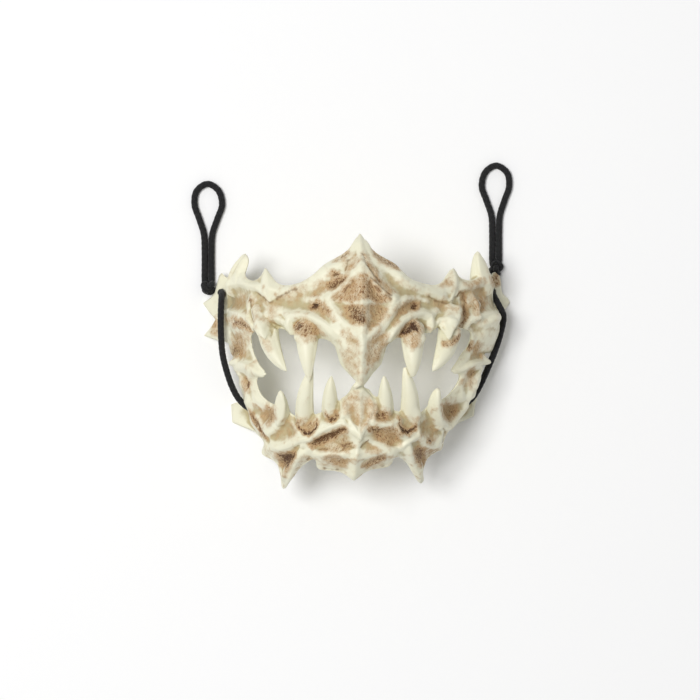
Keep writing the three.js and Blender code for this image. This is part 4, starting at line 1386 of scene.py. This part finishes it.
def brushed(tree, sizes, turn):
    """Noise drawn out into strokes that run down and outwards on both halves of the face"""
    place = put(tree, "SeparateXYZ", {"Vector": put(tree, "TexCoord", {}).outputs["Object"]})
    aside = calc(tree, "ABSOLUTE", place.outputs["X"])
    folded = put(tree, "CombineXYZ", {"X": aside, "Y": place.outputs["Y"], "Z": place.outputs["Z"]})
    drawn = put(tree, "Mapping", {"Vector": folded.outputs[0], "Rotation": (0, 0, turn),
                                  "Scale": [size * MM for size in sizes]}, vector_type="TEXTURE")
    sockets = {"Vector": drawn.outputs[0], "Scale": 1, "Detail": 5, "Distortion": 1.1}
    return put(tree, "TexNoise", sockets).outputs[0]


def lay_over(tree, under, over, share):
    """One colour laid over another by a share"""
    return put(tree, "Mix", {0: share, 6: under, 7: over}, data_type="RGBA").outputs[2]


def times(tree, one, other):
    """Two numbers multiplied"""
    return calc(tree, "MULTIPLY", one, other)


# %% [markdown]
# The casting is ivory, a little warmer in places, and olive where it lies hollow: that olive is
# painted shade, not stain. Over that come tan, reddish strokes of it, the cracks, brown and dark,
# in the order in which paint is thinned, laid on and wiped. Strokes are noise drawn out along one
# way, since the brush went down and outwards on both cheeks.

# %% Bone resin
IVORY = srgb(235, 234, 213)
WARM_IVORY = srgb(232, 227, 198)
OLIVE_SHADE = srgb(172, 156, 106)
LIGHT_TAN = srgb(205, 172, 128)
TAN = srgb(172, 134, 90)
REDDISH = srgb(144, 100, 66)
BROWN = srgb(102, 68, 38)
DARK = srgb(62, 36, 20)
STROKE = (1.7, 0.7, 1.2)
STROKE_TURN = math.radians(-58)
CLEAN_ROUGHNESS = 0.42
STAINED_ROUGHNESS = 0.68

bone, tree, surface = material("bone resin")
coarse, middling, fine = grains(tree, 3.5), grains(tree, 1.6, 4, 1), grains(tree, 0.7, 4, 1)
strokes = brushed(tree, STROKE, STROKE_TURN)
how_tan, how_brown, how_dark = number(tree, "tan"), number(tree, "brown"), number(tree, "dark")
# Painted shade: olive where the surface lies below its smoothed self.
painted_hollow_shade = broken(tree, number(tree, "hollow"), coarse, spread=0.25, low=0.46, high=0.7)
stained = broken(tree, how_tan, coarse, spread=1.2, low=0.05, high=0.95)
mottled = put(tree, "MapRange", {"Value": strokes, "From Min": 0.36, "From Max": 0.58,
                                 "To Min": 0.6}).outputs[0]
streaked = times(tree, stained, broken(tree, how_tan, strokes, spread=3, low=0.92, high=1.3))
browned = times(tree, stained, broken(tree, how_brown, strokes, spread=3.4, low=0.42, high=0.92))
darkened = times(tree, stained, broken(tree, how_dark, fine, spread=2.6, low=0.35, high=0.85))
cracked = broken(tree, number(tree, "crack"), coarse, spread=2, low=0.35, high=1.2)
colour = lay_over(tree, IVORY, WARM_IVORY, grains(tree, 14))
layers = [
    (OLIVE_SHADE, painted_hollow_shade, 0.75), (lay_over(tree, TAN, LIGHT_TAN, middling), stained, mottled),
    (REDDISH, streaked, 0.6), (BROWN, cracked, 0.5), (BROWN, browned, 0.85), (DARK, darkened, 0.85),
]
for over, amount, share in layers:
    colour = lay_over(tree, colour, over, times(tree, amount, share))
skin = put(tree, "Bump", {"Height": fine, "Strength": 0.25, "Distance": 0.15 * MM})
pores = put(tree, "Bump", {"Height": times(tree, middling, stained), "Strength": 0.8,
                           "Distance": 0.8 * MM, "Normal": skin.outputs["Normal"]})
shine = put(tree, "MapRange", {"Value": stained, "To Min": CLEAN_ROUGHNESS,
                               "To Max": STAINED_ROUGHNESS})
plug(tree, surface, {"Base Color": colour, "Roughness": shine.outputs["Result"],
                     "Normal": pores.outputs["Normal"], "Specular IOR Level": 0.35})
print("bone resin:", len(tree.nodes), "shader nodes")

# %% [markdown]
# The remesh leaves more faces than the shapes need. They are thinned to a number that still holds
# the finest crack, and only now, because the numbers at the corners are carried over with them. The
# casting then takes the place of the solid mask.

# %% Thin the casting and put it in its place
TRIANGLES = 192000

thin = casting.modifiers.new("thin", "DECIMATE")
thin.ratio = TRIANGLES / (2 * len(casting.data.polygons))
settle(casting)
casting.data.shade_smooth()
casting.data.materials.clear()
casting.data.materials.append(bone)
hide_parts("mask")
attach(casting, "root")
casting.data.calc_loop_triangles()
print("casting triangles:", len(casting.data.loop_triangles))

# %% [markdown]
# The elastic is a matte black textile. Its braid is real relief, and finer yarns run along the
# strands as bump, on the numbers that each cord keeps for its turn and its length. Its colour is
# lighter on top of the strands, with noise for worn fibres, and near black in the gaps between
# them: painted light and shade, partly wear.

# %% Black elastic
YARNS = 36
YARN_LEAN = 0.7
SOOT = srgb(4, 4, 5)
WORN_AND_LIT_BLACK = srgb(36, 36, 38)

elastic, tree, surface = material("black elastic")
round_place = put(tree, "Attribute", {}, attribute_name="round").outputs["Vector"]
apart = put(tree, "SeparateXYZ", {"Vector": round_place})
waves = []
for lean in (1, -1):
    turns = times(tree, apart.outputs["X"], 2 * math.pi * YARNS)
    leant = calc(tree, "MULTIPLY_ADD", apart.outputs["Y"], lean * YARNS * YARN_LEAN, turns)
    waves.append(calc(tree, "SINE", leant))
yarn = calc(tree, "MAXIMUM", *waves)
# Painted light and shade: lighter where the strand stands out, darker in the gaps, flecked by
# noise.
fuzz_and_painted_light = times(tree, grains(tree, 0.5), apart.outputs["Z"])
shade = put(tree, "MapRange", {"Value": fuzz_and_painted_light, "From Min": 0.3, "From Max": 0.6})
black = lay_over(tree, SOOT, WORN_AND_LIT_BLACK, shade.outputs["Result"])
ribs = put(tree, "Bump", {"Height": yarn, "Strength": 0.4, "Distance": 0.06 * MM})
plug(tree, surface, {"Base Color": black, "Normal": ribs.outputs["Normal"], "Roughness": 0.85,
                     "Sheen Weight": 0.1})
for _, _, made, tied, _ in cord_pieces:
    for piece in (made, tied):
        piece.data.materials.append(elastic)
print("black elastic on", 2 * len(cord_pieces), "pieces")

# %% [markdown]
# ## Floor and light
#
# A large white floor and an even white sky stand for the white studio. One broad lamp on the left
# gives the ivory its soft shading, with the darker side on the right as in the photograph. A second
# lamp would add shadows that the photograph doesn't have.

# %% Floor, sky and lamp
STUDIO_REACH = 3
FLOOR_WHITE = (0.97, 0.97, 0.97, 1)
SKY_WHITE = (1, 1, 1, 1)
SKY_STRENGTH = 0.38
LAMP_PLACE = Vector((-0.85, 0.25, 2.4))
LAMP_AIM = Vector((0, 0, 0.05))
LAMP_WIDTH = 0.9
LAMP_POWER = 45

shape = bmesh.new()
bmesh.ops.create_grid(shape, x_segments=1, y_segments=1, size=STUDIO_REACH)
floor = as_object("floor", shape)
white, tree, surface = material("white floor")
plug(tree, surface, {"Base Color": FLOOR_WHITE, "Roughness": 0.9})
floor.data.materials.append(white)

sky = bpy.data.worlds.new("white sky")
sky.use_nodes = True
plug(sky.node_tree, sky.node_tree.nodes["Background"],
     {"Color": SKY_WHITE, "Strength": SKY_STRENGTH})
scene.world = sky

lamp = bpy.data.objects.new("lamp", bpy.data.lights.new("lamp", "AREA"))
lamp.data.energy = LAMP_POWER
lamp.data.size = LAMP_WIDTH
lamp.location = LAMP_PLACE
lamp.rotation_euler = (LAMP_AIM - LAMP_PLACE).to_track_quat("-Z", "Y").to_euler()
scene.collection.objects.link(lamp)
scene.view_settings.view_transform = "Standard"
print("lamp", round((LAMP_AIM - LAMP_PLACE).length, 2), "m away")
